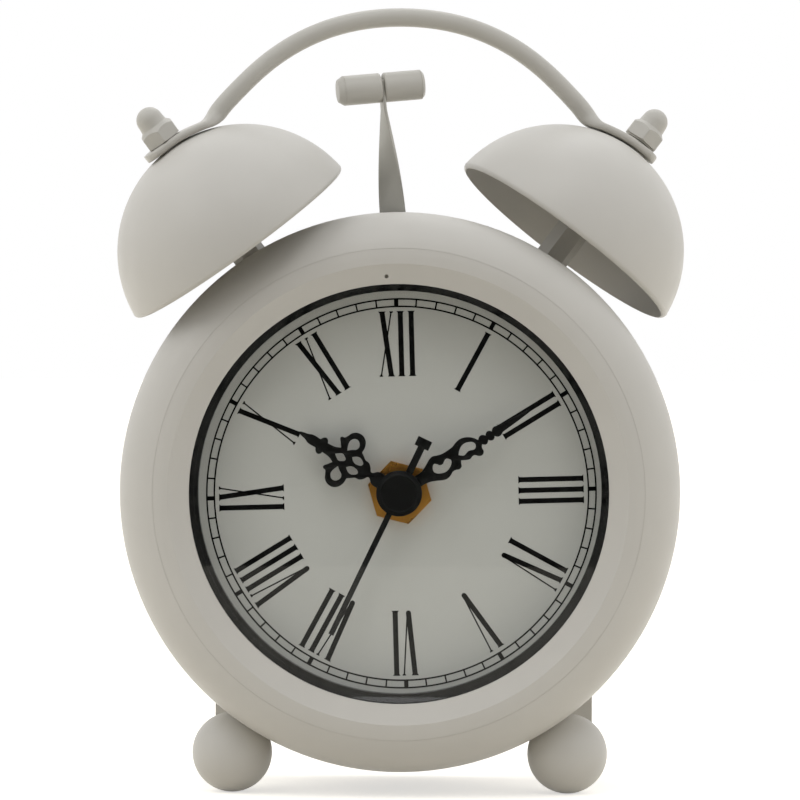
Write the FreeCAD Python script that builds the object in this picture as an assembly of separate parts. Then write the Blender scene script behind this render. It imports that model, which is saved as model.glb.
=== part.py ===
"""Twin-bell alarm clock with a quartz movement, two ball feet and a carry handle.

Millimetres. +X right, +Y from the dial towards the back, +Z up. The origin is
on the ground, under the middle of the bounding box. Depths are measured from
the bezel's front crest, heights in the drum from its axis.
"""
import math
import os

import FreeCAD
import Part
from FreeCAD import Placement, Rotation, Vector

# ---------------------------------------------------------------- drum
DRUM_R = 55.85            # outer radius of the drum
WALL = 0.8                # sheet thickness of drum and bezel
CREST_R = 45.6            # radius of the bezel's foremost circle
SEAM_R = 48.7             # joint between drum and bezel
OPENING_R = 41.6          # sight opening of the bezel
CREST_Y = -25.0           # the bezel crest, from the middle of the depth
DRUM_DEPTH = 48.0         # crest to rear edge
SHOULDER_R = DRUM_R - CREST_R

# ---------------------------------------------------------------- feet
FOOT_R = 8.0
FOOT_REACH = 62.4         # drum axis to ball centre
FOOT_ANGLE = 32.6         # from straight down
FOOT_Y = -9.0
FOOT_FLAT = 0.1           # height of the flat under each ball
AXIS_Z = FOOT_REACH * math.cos(math.radians(FOOT_ANGLE)) + FOOT_R - FOOT_FLAT

# ---------------------------------------------------------------- bells and handle
TOP_TURN = 11.8           # bells, handle and hammer stand turned about the vertical
BELL_R = 25.7
BELL_WALL = 1.2
BELL_TILT = 37.5          # bell axis from the vertical
BELL_X = 32.0             # centre of the bell's sphere
BELL_Z = 48.2             # above the drum axis
BELL_RIM = 2.0            # rim plane beyond the sphere's centre
RIM_ROUND = 0.4
POST_AF = 6.0
STUD_R = 2.0              # M4
TAB_T = 2.0               # flattened ends of the handle
TAB_W = 8.0
NUT_AF = 7.0
NUT_H = 8.0
DOME_R = 2.85
ROD_R = 2.0
HANDLE_TOP = 95.0         # rod centre above the drum axis
HANDLE_ARC_R = 43.0
LEG_RUN = 8.6             # straight rod below the arc

# ---------------------------------------------------------------- hammer
PIVOT_X = -1.3
PIVOT_Z = 48.2
HAMMER_LEAN = 5.2         # to the left at rest
HEAD_RISE = 32.9          # pivot to the middle of the head
HEAD_R = 3.0
LEFT_BEAD = 9.0           # lengths of the two beads
RIGHT_BEAD = 8.0
BEAD_CHAMFER = 0.6
RIVET_R = 0.9
STRIP_W = 5.4
STRIP_T = 1.0
TWIST_START = 5.0         # above the pivot, just under the drum's top
TWIST_END = 28.5          # under the beads
TWIST = -90.0             # the strip's quarter turn
PIN_R = 1.0
EYE_R = 2.2               # the arm's bearing on its pin
ARMATURE = (3.0, 6.0, 4.4)
ARMATURE_DROP = 12.4      # its underside below the pivot

# ---------------------------------------------------------------- ringer
COIL_RISE = 38.0
COIL_R = 4.6
POLE_GAP = 8.6            # hammer's middle to a coil
YOKE_RISE = 31.0
YOKE_END = 22.5           # middle of the bracket's upturned ends
BRACKET_W = 8.4
BRACKET_T = 1.0
CHEEK_W = 9.0
CHEEK_T = 0.8
CHEEK_Y = 3.4             # inner face of a cheek
CORE_R = 1.8

# ---------------------------------------------------------------- screws and holes
LUG_ANGLES = (90, 210, 330)
LUG_R = 50.5
LUG_PAD_R = 3.5
LUG_DEPTH = 9.0
COVER_SCREW_R = 1.2
SHANK_R = 1.6             # M3 and its paint, foot and post screws
SLOT_L = 17.0             # the hammer's slot in the drum
SLOT_W = 4.0
SEAM_GAP = 0.07
LIP = 2.2                 # the seam's turned-in lip and the bezel's inner edge
CURL = 1.6                # the drum's turned-in rear edge
CURL_T = 0.5
VENT = (-2.5, 43.1, 0.4)  # pin-hole in the bezel's inner slope: x, rise, radius

# ---------------------------------------------------------------- dial stack, depths from the crest
GLASS_D = 3.2
GLASS_T = 1.5
SPACER_R = 40.2           # black ring round the dial
STACK_R = 47.2            # glass, ring and dial fit the bezel's skirt
DIAL_D = 12.0
DIAL_T = 0.5
WASHER_T = 0.5
BOX_D = DIAL_D + DIAL_T + WASHER_T   # front of the movement
BOX_SIZE = 56.0
BOX_DEPTH = 16.0
BOX_WALL = 1.5
COVER_D = 45.0            # front of the back cover
COVER_T = 2.5
TAB_COUNT = 6             # bent tabs that hold the dial stack
TAB_HALF = 3.0

# ---------------------------------------------------------------- back
LEG_X = 34.5
LEG_W = 9.0
LEG_T = 6.5
LEG_H = 26.5
LEG_TAPER = 24
BAY_X0 = -27.0            # battery bay
BAY_X1 = 27.0
BAY_Z0 = -37.0
BAY_Z1 = -20.6
BAY_D = COVER_D - 15.6
BAY_WALL = 1.5
CELL_R = 7.2
CELL_L = 49.2
GRILLE_ROWS = 5
GRILLE_COLUMNS = 7
KNOB_R = 5.0
KNOB_L = 6.5
KNOB_GROOVES = 24
SPINDLE_R = 1.5
SWITCH_Z = 16.0
SWITCH_TRAVEL = 3.8

# ---------------------------------------------------------------- hands and motion work
MODULE = 0.3
CANNON_TEETH = 15
WHEEL_TEETH = 45
PINION_TEETH = 12
HOUR_TEETH = 48
SECOND_TEETH = 30
CENTRES = MODULE * (CANNON_TEETH + WHEEL_TEETH) / 2
SET_X = -CENTRES          # the setting spindle
SET_Z = 0.0
ALARM_X = 14.0            # the alarm spindle
ALARM_Z = 0.0
GEAR_D = BOX_D + BOX_WALL
HOUR_WHEEL_D = GEAR_D + 1.1
MINUTE_WHEEL_D = GEAR_D + 2.7
FIT = 0.05                # radial running clearance
BUSH_R = 4.0              # M8
HOUR_PIPE_R = 3.0 - FIT
CANNON_R = 2.0 - FIT
ARBOR_R = 1.0 - FIT
HAND_T = 0.4
CAP_R = 4.55              # the second hand's cap
CAP_T = 1.0
HOUR_HAND_D = 8.8
MINUTE_HAND_D = 7.6
SECOND_HAND_D = 6.4
HOUR_ANGLE = 301.6        # clockwise from the top
MINUTE_ANGLE = 58.75
SECOND_ANGLE = 204.6

BACK = Vector(0, 1, 0)
RIGHT = Vector(1, 0, 0)
UP = Vector(0, 0, 1)


def at(x, depth, rise):
    """A point from its depth behind the crest and its height over the drum axis."""
    return Vector(x, CREST_Y + depth, AXIS_Z + rise)


def tube(radius, bore, depth, length, x=0.0, rise=0.0):
    """A round bar along the depth, with an optional bore."""
    bar = Part.makeCylinder(radius, length, at(x, depth, rise), BACK)
    if bore > 0:
        bar = bar.cut(Part.makeCylinder(bore, length, at(x, depth, rise), BACK))
    return bar


def block(x0, x1, depth0, depth1, rise0, rise1):
    """A block between two corners."""
    return Part.makeBox(x1 - x0, depth1 - depth0, rise1 - rise0, at(x0, depth0, rise0))


def turned(profile):
    """A ring about the drum axis from edges drawn as (radius, depth)."""
    wire = Part.Wire(Part.__sortEdges__(profile))
    return Part.Face(wire).revolve(at(0, 0, 0), BACK, 360)


def line(start, end):
    """A profile edge between two (radius, depth) points."""
    return Part.LineSegment(at(start[0], start[1], 0), at(end[0], end[1], 0)).toShape()


def arc(start, middle, end):
    """A profile arc through three (radius, depth) points."""
    points = [at(p[0], p[1], 0) for p in (start, middle, end)]
    return Part.Arc(*points).toShape()


def chain(points):
    """A closed run of profile lines."""
    return [line(points[i - 1], points[i]) for i in range(len(points))]


def hexagon(across_flats, height, base, axis):
    """A hexagonal prism."""
    radius = across_flats / math.sqrt(3)
    corners = [Vector(radius * math.cos(math.pi * i / 3), radius * math.sin(math.pi * i / 3), 0)
               for i in range(7)]
    prism = Part.Face(Part.makePolygon(corners)).extrude(Vector(0, 0, height))
    prism.Placement = Placement(base, Rotation(UP, axis))
    return prism


def turn_top(shape):
    """Turn a piece of the top assembly about the vertical through the middle."""
    copy = shape.copy()
    copy.rotate(Vector(0, 0, 0), UP, TOP_TURN)
    return copy


def mirror_x(shape):
    """The left-hand copy of a right-hand piece."""
    return shape.mirror(Vector(0, 0, 0), Vector(1, 0, 0))


def fuse(shapes):
    """One solid from several."""
    whole = shapes[0].multiFuse(shapes[1:])
    return whole.removeSplitter()


def shoulder_depth(radius, inset=0.0):
    """Depth of the rounded front at a radius, for the skin set in by inset."""
    span = SHOULDER_R - inset
    return SHOULDER_R - math.sqrt(max(0.0, span ** 2 - (radius - CREST_R) ** 2))


def shoulder_arc(radius0, radius1, inset=0.0):
    """The arc of the rounded front between two radii."""
    middle = (radius0 + radius1) / 2
    points = [(r, shoulder_depth(r, inset)) for r in (radius0, middle, radius1)]
    return arc(*points)


# ---------------------------------------------------------------- drum pieces
def polar(radius, degrees):
    """A point round the drum axis, anticlockwise from +X as (x, rise)."""
    return radius * math.cos(math.radians(degrees)), radius * math.sin(math.radians(degrees))


def bell_axis():
    """The direction of the right bell's axis."""
    tilt = math.radians(BELL_TILT)
    return Vector(math.sin(tilt), 0, math.cos(tilt))


def bell_point(distance):
    """A point on the right bell's axis, from the centre of its sphere."""
    return Vector(BELL_X, 0, AXIS_Z + BELL_Z) + bell_axis() * distance


def foot_direction():
    """From the drum axis to the right ball."""
    lean = math.radians(FOOT_ANGLE)
    return Vector(math.sin(lean), 0, -math.cos(lean))


def foot_hole(radius):
    """The screw hole of the right foot through the drum wall."""
    start = Vector(0, FOOT_Y, AXIS_Z) + foot_direction() * (DRUM_R - 8)
    return Part.makeCylinder(radius, 16, start, foot_direction())


def post_hole(radius):
    """The screw hole of the right post through the drum wall."""
    return Part.makeCylinder(radius, 16, bell_point(-14), bell_axis())


def case_shell():
    """The drum: rounded front, turned-in seam and rear edge, screw lugs inside."""
    inner = DRUM_R - WALL
    curl_r = inner - CURL
    curl_d = DRUM_DEPTH - CURL_T
    seam_in = SEAM_R + WALL
    lip = LIP + 1
    shell = turned([shoulder_arc(SEAM_R, DRUM_R),
                    line((DRUM_R, SHOULDER_R), (DRUM_R, DRUM_DEPTH)),
                    line((DRUM_R, DRUM_DEPTH), (curl_r, DRUM_DEPTH)),
                    line((curl_r, DRUM_DEPTH), (curl_r, curl_d)),
                    line((curl_r, curl_d), (inner, curl_d)),
                    line((inner, curl_d), (inner, SHOULDER_R)),
                    shoulder_arc(inner, seam_in, WALL),
                    line((seam_in, shoulder_depth(seam_in, WALL)), (seam_in, lip)),
                    line((seam_in, lip), (SEAM_R, lip)),
                    line((SEAM_R, lip), (SEAM_R, shoulder_depth(SEAM_R)))])
    lugs = []
    holes = []
    for angle in LUG_ANGLES:
        start = COVER_D - LUG_DEPTH
        pad = tube(LUG_PAD_R, 0, start, LUG_DEPTH, *polar(LUG_R, angle))
        web = tube(LUG_PAD_R, 0, start, LUG_DEPTH, *polar(LUG_R + 2.5, angle))
        lugs.append(pad.fuse(web).common(tube(inner + 0.1, 0, 0, COVER_D)))
        holes.append(tube(COVER_SCREW_R, 0, start + 1, LUG_DEPTH - 1, *polar(LUG_R, angle)))
    shell = fuse([shell] + lugs)
    foot = foot_hole(SHANK_R)
    post = post_hole(SHANK_R)
    holes += [foot, mirror_x(foot), turn_top(post), turn_top(mirror_x(post)), turn_top(hammer_slot())]
    return shell.cut(holes)


def hammer_slot():
    """The slot in the drum's top that the hammer arm swings in."""
    corner = Vector(PIVOT_X - SLOT_L / 2, -SLOT_W / 2, AXIS_Z + DRUM_R - 6)
    return Part.makeBox(SLOT_L, SLOT_W, 12.0, corner)


def bezel_ring():
    """The pressed bezel, with bent tabs that hold the dial stack."""
    skirt_out = SEAM_R - SEAM_GAP
    skirt_in = skirt_out - WALL
    bend = DIAL_D + DIAL_T
    rear = bend + WALL
    ring = turned([line((skirt_out, rear), (skirt_out, shoulder_depth(skirt_out))),
                   shoulder_arc(skirt_out, CREST_R),
                   line((CREST_R, 0), (OPENING_R, LIP)),
                   line((OPENING_R, LIP), (OPENING_R, GLASS_D)),
                   line((OPENING_R, GLASS_D), (skirt_in, GLASS_D)),
                   line((skirt_in, GLASS_D), (skirt_in, rear)),
                   line((skirt_in, rear), (skirt_out, rear))])
    tabs = []
    for i in range(TAB_COUNT):
        tab = block(-TAB_HALF, TAB_HALF, bend, rear, STACK_R - 2.5, skirt_in + 0.3)
        tab.rotate(at(0, 0, 0), BACK, 360 / TAB_COUNT * (i + 0.5))
        tabs.append(tab)
    vent_x, vent_rise, vent_r = VENT
    return fuse([ring] + tabs).cut(tube(vent_r, 0, -1, GLASS_D, vent_x, vent_rise))


def glass_lens():
    """The flat glass behind the bezel's lip."""
    disc = tube(STACK_R, 0, GLASS_D, GLASS_T)
    return disc.makeChamfer(0.2, disc.Edges)


def spacer_ring():
    """The black ring between the glass and the dial, flared towards the glass."""
    front = GLASS_D + GLASS_T
    flare = OPENING_R - 0.1
    step = (SPACER_R + flare) / 2
    return turned(chain([(STACK_R, front), (STACK_R, DIAL_D), (SPACER_R, DIAL_D),
                         (SPACER_R, DIAL_D - 2.4), (step, DIAL_D - 3.4), (step, front + 1.6),
                         (flare, front + 0.6), (flare, front)]))


def dial_plate():
    """The dial, with a hole for the movement's bush."""
    return tube(STACK_R, BUSH_R, DIAL_D, DIAL_T)


def sealing_washer():
    """The rubber washer between the dial and the movement."""
    return tube(9.0, BUSH_R, DIAL_D + DIAL_T, WASHER_T)


def back_cover():
    """The moulded back with its battery bay, knob and switch openings and two rear legs."""
    plate = tube(DRUM_R - WALL - 0.05, 0, COVER_D, COVER_T)
    bay = grown_bay(BAY_WALL, BAY_D, COVER_D + 0.5)
    leg = rear_leg()
    body = fuse([plate, bay, leg, mirror_x(leg)])
    front = COVER_D - 1
    behind = COVER_D + COVER_T + 1
    cuts = [grown_bay(0, BAY_D + BAY_WALL, behind), grown_bay(2.5, COVER_D + 1.0, behind),
            tube(2.6, 0, front, 5, SET_X, SET_Z), tube(2.6, 0, front, 5, ALARM_X, ALARM_Z),
            block(-3.6, 3.6, front, behind, SWITCH_Z - 2.1, SWITCH_Z + 2.1)]
    for angle in LUG_ANGLES:
        cuts.append(tube(COVER_SCREW_R + 0.15, 0, front, 5, *polar(LUG_R, angle)))
    for row in range(GRILLE_ROWS):
        for column in range(GRILLE_COLUMNS):
            cuts.append(tube(0.9, 0, front, 5, 8 * column - 24, 36 - 3.2 * row))
    return body.cut(cuts)


def grown_bay(margin, front, rear):
    """The battery bay's outline, wider by a margin, between two depths."""
    return block(BAY_X0 - margin, BAY_X1 + margin, front, rear, BAY_Z0 - margin, BAY_Z1 + margin)


def rear_leg():
    """One leg of the back cover, straight behind a ball foot."""
    rear = CREST_Y + DRUM_DEPTH
    leg = Part.makeBox(LEG_W, LEG_T, LEG_H, Vector(LEG_X - LEG_W / 2, rear, 0))
    top = LEG_H - AXIS_Z
    root = block(LEG_X - LEG_W / 2, LEG_X + LEG_W / 2, COVER_D + 2, DRUM_DEPTH, top - 30, top)
    root = root.common(tube(DRUM_R - WALL - CURL - 0.1, 0, 0, 60))
    taper = Part.makeBox(20, 20, 60, Vector(LEG_X - 10, rear + LEG_T, LEG_H / 2))
    taper.rotate(Vector(0, rear + LEG_T, LEG_H / 2), Vector(1, 0, 0), LEG_TAPER)
    return fuse([leg, root]).cut(taper)


# ---------------------------------------------------------------- back fittings

def battery_door():
    """The sliding battery door, with grip ribs."""
    door = grown_bay(2.3, COVER_D + 1.1, COVER_D + COVER_T)
    ribs = [block(-6, 6, COVER_D + COVER_T, COVER_D + COVER_T + 0.6, rise, rise + 0.8)
            for rise in (-34.0, -32.2, -30.4)]
    return fuse([door] + ribs)


def battery():
    """A size AA cell."""
    centre = (BAY_Z0 + BAY_Z1) / 2
    start = at(-25.2, BAY_D + BAY_WALL + CELL_R + 0.4, centre)
    cell = Part.makeCylinder(CELL_R, CELL_L, start, RIGHT)
    cap = Part.makeCylinder(2.75, 1.2, start + RIGHT * CELL_L, RIGHT)
    return fuse([cell, cap])


def battery_contacts():
    """The two spring plates at the ends of the battery bay."""
    centre = (BAY_Z0 + BAY_Z1) / 2
    plate = block(BAY_X1 - 0.4, BAY_X1, BAY_D + 3, COVER_D - 1, centre - 6, centre + 6)
    other = block(BAY_X0, BAY_X0 + 0.4, BAY_D + 3, COVER_D - 1, centre - 6, centre + 6)
    seat = at(BAY_X0 + 0.4, BAY_D + BAY_WALL + CELL_R + 0.4, centre)
    spring = Part.makeCone(5.0, 2.5, 1.4, seat, RIGHT)
    core = Part.makeCone(4.2, 1.7, 1.4, seat, RIGHT)
    return Part.makeCompound([plate, fuse([other, spring.cut(core)])])


def cover_screws():
    """Three pan-head screws that hold the back cover."""
    screws = []
    face = COVER_D + COVER_T
    for angle in LUG_ANGLES:
        x, rise = polar(LUG_R, angle)
        head = tube(2.4, 0, face, 1.4, x, rise)
        head = head.makeFillet(0.7, [head.Edges[0]])
        shank = tube(COVER_SCREW_R, 0, COVER_D - 6, 6 + COVER_T, x, rise)
        recess = [block(x - along, x + along, face + 0.7, face + 3, rise - across, rise + across)
                  for along, across in ((1.3, 0.25), (0.25, 1.3))]
        screws.append(fuse([head, shank]).cut(recess))
    return Part.makeCompound(screws)


def alarm_switch():
    """The slide switch's button in its slot."""
    middle = -SWITCH_TRAVEL / 2
    low, high = SWITCH_Z - 1.9, SWITCH_Z + 1.9
    button = block(middle - 1.6, middle + 1.6, COVER_D - 1.5, COVER_D + COVER_T + 2, low, high)
    flange = block(middle - 6.5, middle + 6.5, COVER_D - 1.6, COVER_D - 0.1, low - 1.3, high + 1.3)
    ribs = [block(x - 0.3, x + 0.3, COVER_D + 4, COVER_D + 5, low - 1, high + 1)
            for x in (middle - 1.2, middle, middle + 1.2)]
    return fuse([button, flange]).cut(ribs)


def knob(x, rise):
    """A knurled knob behind the back cover."""
    start = COVER_D + COVER_T + 1.0
    rear = at(0, start + KNOB_L, 0).y
    body = tube(KNOB_R, 0, start, KNOB_L, x, rise)
    body = body.makeFillet(0.8, [edge for edge in body.Edges if edge.CenterOfMass.y > rear - 0.1])
    cuts = []
    for i in range(KNOB_GROOVES):
        gx, gz = polar(KNOB_R + 0.15, 360 / KNOB_GROOVES * i)
        cuts.append(tube(0.55, 0, start - 1, KNOB_L + 2, x + gx, rise + gz))
    return body.cut(cuts)


def spindle(x, rise, depth):
    """The shaft of a rear knob, from a depth inside the movement."""
    return tube(SPINDLE_R, 0, depth, COVER_D + COVER_T + 1.0 - depth, x, rise)


# ---------------------------------------------------------------- feet, bells and handle
def ball_foot():
    """The right ball foot: saddled to the drum, bored for its screw, flat underneath."""
    centre = Vector(0, FOOT_Y, AXIS_Z) + foot_direction() * FOOT_REACH
    ball = Part.makeSphere(FOOT_R, centre)
    ground = Part.makeBox(40, 40, 20, centre + Vector(-20, -20, -FOOT_R + FOOT_FLAT - 20))
    bore = Part.makeCylinder(SHANK_R, 9, centre - foot_direction() * 12, foot_direction())
    return ball.cut([ground, tube(DRUM_R, 0, 0, 60), bore])


def foot_screw():
    """The screw that holds the right ball foot from inside the drum."""
    reach = DRUM_R - WALL - 0.12
    seat = Vector(0, FOOT_Y, AXIS_Z) + foot_direction() * reach
    shank = Part.makeCylinder(SHANK_R, FOOT_REACH - 3 - reach, seat, foot_direction())
    head = Part.makeCylinder(3.0, 1.8, seat, foot_direction() * -1)
    return fuse([shank, head])


def bell_post():
    """The right hexagonal post, saddled to the drum, with the bell's stud on top."""
    shoulder = math.sqrt((BELL_R - BELL_WALL) ** 2 - (POST_AF / math.sqrt(3)) ** 2) - 0.02
    bar = hexagon(POST_AF, shoulder + 6, bell_point(-6), bell_axis())
    stud_end = BELL_R + TAB_T + NUT_H - 2.5
    stud = Part.makeCylinder(STUD_R, stud_end - shoulder, bell_point(shoulder), bell_axis())
    bore = Part.makeCylinder(SHANK_R, 14, bell_point(-8), bell_axis())
    return fuse([bar, stud]).cut([turn_back(tube(DRUM_R, 0, 0, 60)), bore])


def post_screw():
    """The screw that holds the right post from inside the drum."""
    seat = -3.15
    shank = Part.makeCylinder(SHANK_R, 6 - seat, bell_point(seat), bell_axis())
    head = Part.makeCylinder(3.2, 2.0, bell_point(seat - 2.0), bell_axis())
    return fuse([shank, head])


def bell():
    """The right bell: a spherical cup with a rounded rim and a hole at the top."""
    centre = bell_point(0)
    ball = Part.makeSphere(BELL_R, centre)
    hollow = Part.makeSphere(BELL_R - BELL_WALL, centre)
    below = Part.makeCylinder(2 * BELL_R, 2 * BELL_R, bell_point(BELL_RIM), bell_axis() * -1)
    hole = Part.makeCylinder(STUD_R, BELL_R + 5, centre, bell_axis())
    cup = ball.cut([hollow, below, hole])
    return cup.makeFillet(RIM_ROUND, [edge for edge in cup.Edges if edge.Length > 2 * BELL_R])


def acorn_nut():
    """The right acorn nut, seated on the handle's end."""
    seat = BELL_R + TAB_T
    flats = hexagon(NUT_AF, 4.2, bell_point(seat), bell_axis())
    round_bar = Part.makeCone(4.4, 3.3, 4.2, bell_point(seat), bell_axis())
    dome = Part.makeCylinder(DOME_R, NUT_H - DOME_R, bell_point(seat), bell_axis())
    cap = Part.makeSphere(DOME_R, bell_point(seat + NUT_H - DOME_R))
    nut = fuse([flats.common(round_bar), dome, cap])
    return nut.cut(Part.makeCylinder(STUD_R, NUT_H - 2.5, bell_point(seat), bell_axis()))


def handle_knee():
    """Where the right side of the handle's arc ends at 45 degrees, as (x, z)."""
    drop = HANDLE_ARC_R * (1 - math.cos(math.pi / 4))
    return HANDLE_ARC_R * math.sin(math.pi / 4), AXIS_Z + HANDLE_TOP - drop


def carry_handle():
    """The round-rod handle with flattened ends that lie on the bells."""
    knee_x, knee_z = handle_knee()
    top = Vector(0, 0, AXIS_Z + HANDLE_TOP)
    knee = Vector(knee_x, 0, knee_z)
    down = Vector(1, 0, -1).normalize()
    end = knee + down * LEG_RUN
    runs = [Part.LineSegment(mirror_point(end), mirror_point(knee)).toShape(),
            Part.Arc(mirror_point(knee), top, knee).toShape(),
            Part.LineSegment(knee, end).toShape()]
    path = Part.Wire(runs)
    section = Part.Wire(Part.makeCircle(ROD_R, mirror_point(end), Vector(1, 0, 1)))
    rod = path.makePipeShell([section], True, True)
    side = handle_end(end, down)
    return fuse([rod, side, mirror_x(side)])


def mirror_point(point):
    """A point's reflection in the plane x = 0."""
    return Vector(-point.x, point.y, point.z)


def handle_end(start, down):
    """The right end: the rod flattens into a strip bent on to the bell."""
    half = TAB_T / 2
    flat_start = bell_point(0) + Vector(7.3, 0, 25.85)
    across = Vector(math.cos(math.radians(BELL_TILT)), 0, -math.sin(math.radians(BELL_TILT)))
    seat = bell_point(BELL_R + half)
    bend = seat - across * 5.2
    tip = seat + across * 5.4
    round_end = Part.Wire(Part.makeCircle(ROD_R, start, down))
    lean = (bend - flat_start).normalize()
    normal = Vector(-lean.z, 0, lean.x)
    ellipse = Part.Ellipse(flat_start + BACK * (TAB_W / 2), flat_start + normal * (half + 0.05), flat_start)
    flat_end = Part.Wire(ellipse.toShape())
    neck = Part.makeLoft([round_end, flat_end], True)
    strip = [strip_run(flat_start, bend, half), strip_run(bend, tip, half)]
    joint = Part.makeCylinder(half, TAB_W, bend - BACK * (TAB_W / 2), BACK)
    plan = Part.makeCylinder(TAB_W / 2 + 1.4, 20, seat - bell_axis() * 10, bell_axis())
    keep = Part.makeBox(30, 40, 40, Vector(0, -20, -20))
    keep.Placement = Placement(seat - across * 30, Rotation(Vector(1, 0, 0), across))
    strip = fuse(strip + [joint]).common(plan.fuse(keep))
    bore = Part.makeCylinder(STUD_R, 20, seat - bell_axis() * 10, bell_axis())
    return fuse([neck, strip]).cut([bore, Part.makeSphere(BELL_R, bell_point(0))])


def strip_run(start, end, half):
    """A straight run of the flattened strip."""
    along = (end - start).normalize()
    normal = Vector(-along.z, 0, along.x) * half
    edge = BACK * (-TAB_W / 2)
    corners = [start + normal + edge, end + normal + edge, end - normal + edge, start - normal + edge]
    return Part.Face(Part.makePolygon(corners + [corners[0]])).extrude(BACK * TAB_W)


# ---------------------------------------------------------------- hammer and its magnet

def pivot_point():
    """The hammer's pivot."""
    return Vector(PIVOT_X, 0, AXIS_Z + PIVOT_Z)


def lean_hammer(shape):
    """Lean a piece of the hammer, drawn upright on its pivot, to its rest."""
    copy = shape.copy()
    copy.rotate(Vector(0, 0, 0), BACK, -HAMMER_LEAN)
    copy.translate(pivot_point())
    return copy


def strip_section(height, twist):
    """The strip's cross-section at a height above the pivot."""
    half = Vector(STRIP_W / 2, STRIP_T / 2, 0)
    corners = [Vector(half.x * sx, half.y * sy, 0) for sx, sy in ((1, 1), (-1, 1), (-1, -1), (1, -1))]
    wire = Part.makePolygon(corners + [corners[0]])
    wire.rotate(Vector(0, 0, 0), UP, twist)
    wire.translate(Vector(0, 0, height))
    return wire


def hammer_arm():
    """The strip: pivot eye and armature inside, a quarter twist outside."""
    steps = 7
    sections = []
    for i in range(steps):
        share = i / (steps - 1)
        height = TWIST_START + (TWIST_END - TWIST_START) * share
        sections.append(strip_section(height, TWIST * share))
    twist = Part.makeLoft(sections, True)
    lower = Part.makeBox(STRIP_W, STRIP_T, TWIST_START + 9, Vector(-STRIP_W / 2, -STRIP_T / 2, -9))
    head = HEAD_RISE + STRIP_W / 2 - TWIST_END
    upper = Part.makeBox(STRIP_T, STRIP_W, head, Vector(-STRIP_T / 2, -STRIP_W / 2, TWIST_END))
    corner = [edge for edge in upper.Edges
              if edge.BoundBox.ZMin > TWIST_END + head - 0.1 and edge.BoundBox.XLength > 0.9 * STRIP_T]
    upper = upper.makeFillet(STRIP_W / 2 - 0.1, corner)
    eye = Part.makeCylinder(EYE_R, 4.2, Vector(0, -2.1, 0), BACK)
    width, depth, height = ARMATURE
    armature = Part.makeBox(width, depth, height, Vector(-width / 2, -depth / 2, -ARMATURE_DROP))
    arm = fuse([twist, lower, upper, eye, armature])
    bore = Part.makeCylinder(PIN_R + FIT, 8, Vector(0, -4, 0), BACK)
    rivet = Part.makeCylinder(RIVET_R, 4, Vector(-2, 0, HEAD_RISE), RIGHT)
    return lean_hammer(arm.cut([bore, rivet]))


def hammer_beads():
    """The two striking beads, pressed on the rivet's ends, with blind bores."""
    beads = []
    for start, length in ((-STRIP_T / 2 - LEFT_BEAD, LEFT_BEAD), (STRIP_T / 2, RIGHT_BEAD)):
        bead = Part.makeCylinder(HEAD_R, length, Vector(start, 0, HEAD_RISE), RIGHT)
        ends = [edge for edge in bead.Edges if edge.Length > 2 * HEAD_R and edge.isClosed()]
        bead = bead.makeChamfer(BEAD_CHAMFER, ends)
        beads.append(lean_hammer(bead.cut(rivet_pin())))
    return Part.makeCompound(beads)


def rivet_pin():
    """The rivet before the hammer is leant."""
    start = -STRIP_T / 2 - LEFT_BEAD + 2
    length = LEFT_BEAD + STRIP_T + RIGHT_BEAD - 4
    return Part.makeCylinder(RIVET_R, length, Vector(start, 0, HEAD_RISE), RIGHT)


def hammer_rivet():
    """The pin that holds both beads on the strip."""
    return lean_hammer(rivet_pin())


def pivot_pin():
    """The pin that the hammer swings on, riveted in the bracket."""
    return Part.makeCylinder(PIN_R, 8.4, pivot_point() - BACK * 4.2, BACK)


def ringer_bracket():
    """The bracket under the drum's top: cheeks for the pivot, a plate for the coils."""
    base = AXIS_Z + YOKE_RISE
    front = -BRACKET_W / 2
    inner = DRUM_R - WALL
    parts = [Part.makeBox(CHEEK_W, CHEEK_T, PIVOT_Z + 3 - YOKE_RISE, Vector(PIVOT_X - CHEEK_W / 2, y, base))
             for y in (-CHEEK_Y - CHEEK_T, CHEEK_Y)]
    length = 2 * YOKE_END + BRACKET_T
    parts.append(Part.makeBox(length, BRACKET_W, BRACKET_T, Vector(-length / 2, front, base)))
    rim = turn_back(tube(inner, inner - BRACKET_T, 0, 60))
    holes = [Part.makeCylinder(PIN_R, 12, pivot_point() - BACK * 6, BACK)]
    for side in (-1, 1):
        x = side * YOKE_END - BRACKET_T / 2
        parts.append(Part.makeBox(BRACKET_T, BRACKET_W, 30, Vector(x, front, base)))
        foot = Part.makeBox(4.0, BRACKET_W, 30, Vector(x if side > 0 else x - 3.0, front, base))
        parts.append(foot.common(rim))
        holes.append(Part.makeCylinder(CORE_R, 4, Vector(side * YOKE_END - 2, 0, AXIS_Z + COIL_RISE), RIGHT))
    return fuse(parts).common(turn_back(tube(inner, 0, 0, 60))).cut(holes)


def turn_back(shape):
    """A drum piece as the unturned top assembly sees it."""
    copy = shape.copy()
    copy.rotate(Vector(0, 0, 0), UP, -TOP_TURN)
    return copy


def coil_spool(side):
    """One wound coil on its spool."""
    inner = PIVOT_X + side * POLE_GAP
    outer = side * (YOKE_END - BRACKET_T / 2)
    length = abs(outer - inner)
    centre = Vector(min(inner, outer), 0, AXIS_Z + COIL_RISE)
    winding = Part.makeCylinder(COIL_R, length, centre, RIGHT)
    waist = Part.makeCylinder(COIL_R + 1, length - 2, centre + RIGHT, RIGHT)
    waist = waist.cut(Part.makeCylinder(COIL_R - 0.7, length - 2, centre + RIGHT, RIGHT))
    return winding.cut([waist, Part.makeCylinder(CORE_R, length, centre, RIGHT)])


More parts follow.
